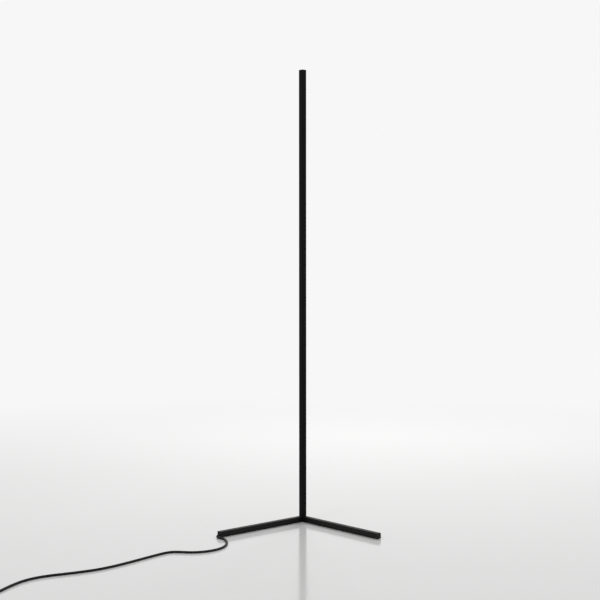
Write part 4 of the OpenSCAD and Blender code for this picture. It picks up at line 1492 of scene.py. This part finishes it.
@dataclass
class CordTie:
    """A strap of webbing round the strands at the coil's near side.

    Attributes:
        centre: Its place along X.
        near: Its end towards the viewer.
        far: Its other end.
        top: Its height.
        width: Its width along X.
        thickness: Thickness of the webbing.
        thinned: How wide its thinner edges are, as a share of its thickness.
        drop: How far they are thinned on each side, as a share of it.
        corner: Radius of the strap's corners.
        corner_steps: Faces round a corner.
    """

    centre: float = -0.813525
    near: float = -0.75665
    far: float = -0.74115
    top: float = 0.0148
    width: float = 0.008
    thickness: float = 0.0006
    thinned: float = 0.35
    drop: float = 0.25
    corner: float = 0.0022
    corner_steps: int = 6

    def loop(self, inset: float) -> list[Pair]:
        """Draws the strap's outline as seen along X.

        Args:
            inset: How far it is drawn in.

        Returns:
            The y and z of each point.
        """
        r, points = self.corner - inset, []
        left, right = self.near + self.corner, self.far - self.corner
        low, high = self.corner, self.top - self.corner
        for quarter, (y, z) in enumerate(((right, high), (left, high), (left, low), (right, low))):
            for k in range(self.corner_steps + 1):
                a = math.pi / 2 * (quarter + k / self.corner_steps)
                points.append((y + r * math.cos(a), z + r * math.sin(a)))
        return points

    def build(self) -> Object:
        """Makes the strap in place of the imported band.

        Returns:
            The strap.
        """
        half = self.width / 2
        crisp = half - self.thickness * self.thinned
        section = [(-half, self.drop), (-crisp, 0.0), (crisp, 0.0), (half, self.drop),
                   (half, 1 - self.drop), (crisp, 1.0), (-crisp, 1.0), (-half, 1 - self.drop)]
        rings = [[(self.centre + x, a + share * (c - a), b + share * (d - b))
                  for x, share in section]
                 for (a, b), (c, d) in zip(self.loop(0.0), self.loop(self.thickness))]
        mesh = ringed_mesh("cord_strap", rings, looped=True)
        mesh.materials.append(Surface.WEBBING.material)
        mesh.shade_smooth()
        return settle(piece_of(mesh, "cord_strap"), Surface.WEBBING, ["cord_tie"])


# ---------- sub-assemblies ----------


class Level(Enum):
    """The three lengths that the pole comes in."""

    LOWER = "lower"
    MIDDLE = "middle"
    UPPER = "upper"


@dataclass
class Pole:
    """Black extruded lengths, their milky diffusers, the cap and what joins them inside.

    A screw's place is where the face of its head lies.
    """

    edge: float = 0.00025
    screw_face: float = -0.003
    anchor_screws: Pair = (0.0412, 0.0612)
    screw_offsets: tuple[float, ...] = (-0.027, -0.012, 0.012, 0.027)
    bolt_face: Triple = (0.0, -0.00656, 0.0014)
    bar_screw: SocketScrew = SocketScrew(0.0028, 0.0014, 0.0014, 0.0042, 0.00087, 0.0008, True)
    bolt: SocketScrew = SocketScrew(0.00275, 0.003, 0.0014, 0.0288, 0.00121, 0.0016, False)

    def build(self, kit: Kit) -> None:
        """Makes the lengths, the cap and the screws, and gives the other nodes their finishes.

        Args:
            kit: What they are made with.
        """
        for level in Level:
            kit.easing.ease(f"pole_{level.value}", self.edge, Surface.POLE)
            dress(f"diffuser_{level.value}", Surface.DIFFUSER)
        kit.easing.ease("top_cap", self.edge, Surface.MOULDED)
        for node in ("splice_bar_lower", "splice_bar_upper", "anchor_bar"):
            dress(node, Surface.PLATED)
        heights = [*self.anchor_screws, *(z + d for z in POLE_SEAMS for d in self.screw_offsets)]
        places = [Vector((0.0, self.screw_face, z)) for z in heights]
        kit.scatter.make("bar_screw_row", self.bar_screw.part(), places, FACING_BACK,
                         Surface.PLATED, ["bar_screws"])
        kit.scatter.make("foot_bolt", self.bolt.part(), [Vector(self.bolt_face)], TURNED_OVER,
                         Surface.PLATED, ["pole_bolt"])


@dataclass
class LightStrip:
    """Flexible boards with rows of light chips, and the plugs and sockets between them.

    Attributes:
        pitch: About how far apart the chips are.
        chip: Width of a chip.
        height: Height of a chip over its board.
        window: Radius of the round window in its face.
        window_depth: How deep the window is sunk.
        eased: How far its edges are eased, as a share of its width.
    """

    pitch: float = 0.0165
    chip: float = 0.005
    height: float = 0.0016
    window: float = 0.0019
    window_depth: float = 0.00025
    eased: float = 0.05

    def chip_part(self) -> Object:
        """Makes one chip: a square body with a round window sunk into its face.

        Returns:
            The chip, facing +Y, as a pattern for copies.
        """
        half, edge = self.chip / 2, self.chip * self.eased
        rings = [Ring(half, -self.height, Outline.SQUARE), Ring(half, -edge, Outline.SQUARE),
                 Ring(half - edge, 0.0, Outline.SQUARE), Ring(self.window, 0.0),
                 Ring(self.window - edge, -self.window_depth)]
        turned = [[(x, z, y) for x, y, z in ring.points(start=0.5)] for ring in rings]
        return bpy.data.objects.new("chip", ringed_mesh("chip", turned))

    def build(self, kit: Kit) -> None:
        """Makes each row of chips on its board, and gives the boards and plugs their finishes.

        Args:
            kit: What they are made with.
        """
        part = self.chip_part()
        for level in Level:
            node = f"led_chips_{level.value}"
            low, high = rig.box(node)
            length = high.z - low.z - self.chip
            count = round(length / self.pitch) + 1
            first = (0.0, high.y, low.z + self.chip / 2)
            kit.row.make(f"chip_row_{level.value}", part, first, (0.0, 0.0, length / (count - 1)),
                         count, Surface.PHOSPHOR, [node])
            dress(f"led_board_{level.value}", Surface.WHITE_BOARD)
        for end in ("lower", "upper"):
            dress(f"link_socket_{end}", Surface.WHITE_BOARD)
            dress(f"link_plug_{end}", Surface.MOULDED)
        dress("strip_plug", Surface.WHITE_BOARD)


@dataclass
class Base:
    """Corner block, two square tubes with caps and pads, and the relief where the cord leaves.

    Places along the bars are measured from the corner.
    """

    bar_end: float = 0.332
    relief_gap: float = 0.001
    relief_bend: float = 0.011
    relief_straight: float = 0.024
    relief_root: float = 0.0037
    exit_height: float = 0.0057
    tip_height: float = 0.0037
    bend_steps: int = 10
    straight_steps: int = 3
    edge: float = 0.0002
    under: float = 0.0012
    screws: Pair = (0.034, 0.044)
    screw: SocketScrew = SocketScrew(0.003, 0.0017, 0.0014, 0.0052, 0.00087, 0.0008, True)

    def relief_line(self) -> list[Vector]:
        """Runs a line out of the end cap, round a quarter bend, then straight.

        Returns:
            The relief's centreline.
        """
        centre, bend = self.bar_end + self.relief_gap, self.relief_bend
        flat = [(self.bar_end, 0.0)]
        for k in range(self.bend_steps + 1):
            a = math.radians(90 * k / self.bend_steps)
            flat.append((centre + bend * math.sin(a), bend * (1 - math.cos(a))))
        step = self.relief_straight / self.straight_steps
        flat += [(centre + bend, bend + step * (k + 1)) for k in range(self.straight_steps)]
        fall = (self.tip_height - self.exit_height) / (len(flat) - 1)
        return [Vector(((y - x) / ROOT2, -(x + y) / ROOT2, self.exit_height + fall * i))
                for i, (x, y) in enumerate(flat)]

    def build(self, kit: Kit) -> None:
        """Makes the bars, caps, screws and relief, and finishes the pads and the lead.

        Args:
            kit: What they are made with.
        """
        kit.easing.ease("corner_block", self.edge, Surface.CORNER)
        for side in ("left", "right"):
            kit.easing.ease(f"{side}_tube", self.edge, Surface.BASE)
            kit.easing.ease(f"{side}_end_cap", self.edge, Surface.MOULDED)
            dress(f"{side}_pad", Surface.RUBBER)
        dress("corner_pad", Surface.RUBBER)
        dress("inner_lead", Surface.JACKET)
        places = [Vector((way * x / ROOT2, -x / ROOT2, self.under))
                  for way in (-1, 1) for x in self.screws]
        kit.scatter.make("tube_screw_set", self.screw.part(), places, TURNED_OVER,
                         Surface.PLATED, ["tube_screws"])
        relief = Relief("bar_relief", "strain_relief", self.relief_line(), self.relief_root)
        relief.build(kit.tube)


class Button(Enum):
    """The controller's push buttons, from the cord's side, with the mark on each."""

    POWER = "power"
    COLOUR = "colour"
    MODE = "mode"

    def strokes(self) -> list[list[Pair]]:
        """Draws the mark about its centre.

        Returns:
            Its lines, with points from -1 to 1 each way.
        """
        def arc(radius: float, x: float = 0.0, y: float = 0.0, start: float = 0.0,
                sweep: float = 360.0, count: int = 24) -> list[Pair]:
            """Points along an arc about x and y, its angles in degrees."""
            turns = [math.radians(start + sweep * k / count) for k in range(count + 1)]
            return [(x + radius * math.cos(a), y + radius * math.sin(a)) for a in turns]

        if self is Button.POWER:
            return [arc(0.8, start=125, sweep=290), [(0.0, 1.0), (0.0, 0.55), (0.0, 0.1)]]
        if self is Button.COLOUR:
            off = 0.5
            return [arc(0.42, x=off * math.cos(a), y=off * math.sin(a))
                    for a in map(math.radians, (90, 210, 330))]
        steps, height = 20, 0.45
        return [[(2 * k / steps - 1, height * math.sin(4 * math.pi * k / steps))
                 for k in range(steps + 1)]]


@dataclass
class Controller:
    """In-line controller: two shells, three push buttons, an indicator and what is inside."""

    edge: float = 0.00035
    button_edge: float = 0.00018
    axis_x: float = CONTROLLER_X
    low_end: float = -0.848
    high_end: float = -0.770
    cord_height: float = 0.0055
    relief_length: float = 0.010
    relief_steps: int = 4
    relief_root: float = 0.0042
    groove: float = 0.0003
    groove_pitch: float = 0.0018
    collar: float = 0.0014
    button_first: float = -0.824
    button_pitch: float = 0.015
    button_top: float = 0.0129
    mark_size: float = 0.0021
    mark_radius: float = 0.00017
    mark_sunk: float = 0.4
    mark_sides: int = 8
    screw: SocketScrew = SocketScrew(0.0019, 0.0012, 0.001, 0.0084, 0.0007, 0.0007, False, 0.0008)
    screw_x: float = 0.0085
    screw_y: Pair = (-0.838, -0.780)

    def build(self, kit: Kit) -> list[object]:
        """Makes the shells, buttons, marks, screws and sleeves.

        Args:
            kit: What they are made with.

        Returns:
            Everything of the controller that shows or lies inside, for the cord that ends in it.
        """
        ease = kit.easing.ease
        pieces: list[object] = [ease("controller_base", self.edge, Surface.MOULDED),
                                ease("controller_cover", self.edge, Surface.MOULDED)]
        for number, button in enumerate(Button):
            body = f"{button.value}_button"
            pieces += [ease(f"button_{button.value}", self.button_edge, Surface.RUBBER, body),
                       self.mark(button, number, body, kit.tube)]
        pieces.append(ease("indicator_window", self.button_edge, Surface.LENS))
        places = paired_places(self.axis_x, self.screw_x, self.screw_y, 0.0)
        pieces.append(kit.scatter.make("controller_screw_set", self.screw.part(), places,
                                       TURNED_OVER, Surface.PLATED, ["controller_screws"]))
        for end, start, way in (("in", self.low_end, -1), ("out", self.high_end, 1)):
            line = straight_line((self.axis_x, start, self.cord_height),
                                 way * self.relief_length, self.relief_steps)
            relief = Relief(f"controller_sleeve_{end}", f"controller_relief_{end}", line,
                            self.relief_root, groove=self.groove, pitch=self.groove_pitch,
                            collar=self.collar)
            pieces.append(relief.build(kit.tube))
        dress("controller_board", Surface.GREEN_BOARD)
        dress("dome_switches", Surface.PLATED)
        return [*pieces, "controller_board", "dome_switches"]

    def mark(self, button: Button, number: int, body: str, tube: SweptTube) -> Object:
        """Makes the raised mark on a button, which reads from the cord's far side.

        Args:
            button: The button.
            number: Its place in the row.
            body: The body that it moves with.
            tube: What sweeps the mark's lines.

        Returns:
            The mark.
        """
        x, y = self.axis_x, self.button_first + number * self.button_pitch
        height = self.button_top - self.mark_radius * self.mark_sunk
        strokes = [[Vector((x + self.mark_size * u, y + self.mark_size * v, height))
                    for u, v in line] for line in button.strokes()]
        radii = [self.mark_radius] * sum(map(len, strokes))
        return tube.make(f"mark_{button.value}", strokes, radii, self.mark_sides, Surface.INK,
                         body=body)


@dataclass
class Adapter:
    """Plug-in adapter: two shells with pins, a relief and what is inside."""

    edge: float = 0.0005
    axis_x: float = -0.85505
    end: float = -0.7509
    cord_height: float = 0.01085
    relief_length: float = 0.028
    relief_steps: int = 6
    relief_root: float = 0.0047
    pin_y: float = -0.7959
    pin_x: float = 0.0095
    pin_foot: float = 0.0175
    pin: tuple[Ring, ...] = (
        Ring(0.00195, 0.0), Ring(0.00195, 0.0064), Ring(0.0035, 0.0064), Ring(0.0035, 0.0084),
        Ring(0.00195, 0.0084), Ring(0.00195, 0.0278), Ring(0.00186, 0.0284),
        Ring(0.00162, 0.0289), Ring(0.00122, 0.0293), Ring(0.0006, 0.0295),
    )
    sleeve: tuple[Ring, ...] = (
        Ring(0.00188, 0.0085), Ring(0.002, 0.0086), Ring(0.002, 0.0203), Ring(0.00188, 0.0205),
    )

    def build(self, kit: Kit) -> list[object]:
        """Makes the shells, the pins with their sleeves, and the relief.

        Args:
            kit: What they are made with.

        Returns:
            Everything of the adapter that shows or lies inside, for the cord that ends in it.
        """
        places = paired_places(self.axis_x, self.pin_x, [self.pin_y], self.pin_foot)
        line = straight_line((self.axis_x, self.end, self.cord_height), self.relief_length,
                             self.relief_steps)
        relief = Relief("adapter_sleeve", "adapter_relief", line, self.relief_root)
        dress("adapter_board", Surface.GREEN_BOARD)
        dress("adapter_transformer", Surface.FERRITE)
        return [kit.easing.ease("adapter_front", self.edge, Surface.MOULDED),
                kit.easing.ease("adapter_back", self.edge, Surface.MOULDED),
                kit.scatter.make("pin_pair", turned_part("pin", self.pin), places, UPRIGHT,
                                 Surface.NICKEL, ["adapter_pins"]),
                kit.scatter.make("pin_sleeves", turned_part("sleeve", self.sleeve), places,
                                 UPRIGHT, Surface.MOULDED),
                relief.build(kit.tube), "adapter_board", "adapter_transformer"]


def write_sizes() -> None:
    """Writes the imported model's box and the finished model's box."""
    boxes = {"cad": cad_box, "visual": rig.bounds()}
    with open(SIZE_FILE, "w") as out:
        json.dump({name: [list(corner) for corner in box] for name, box in boxes.items()}, out)


def main() -> None:
    """Builds and dresses the lamp, one sub-assembly after another."""
    logging.basicConfig(level=logging.INFO, format="%(name)s %(message)s")
    ViewCamera().build()
    kit = Kit()
    on_run = Controller().build(kit)
    on_coil = [*Adapter().build(kit), CordTie().build()]
    SupplyCord().build(kit.tube, on_run, on_coil)
    Studio().build()
    Base().build(kit)
    Pole().build(kit)
    LightStrip().build(kit)
    write_sizes()


if __name__ == "__main__":
    main()
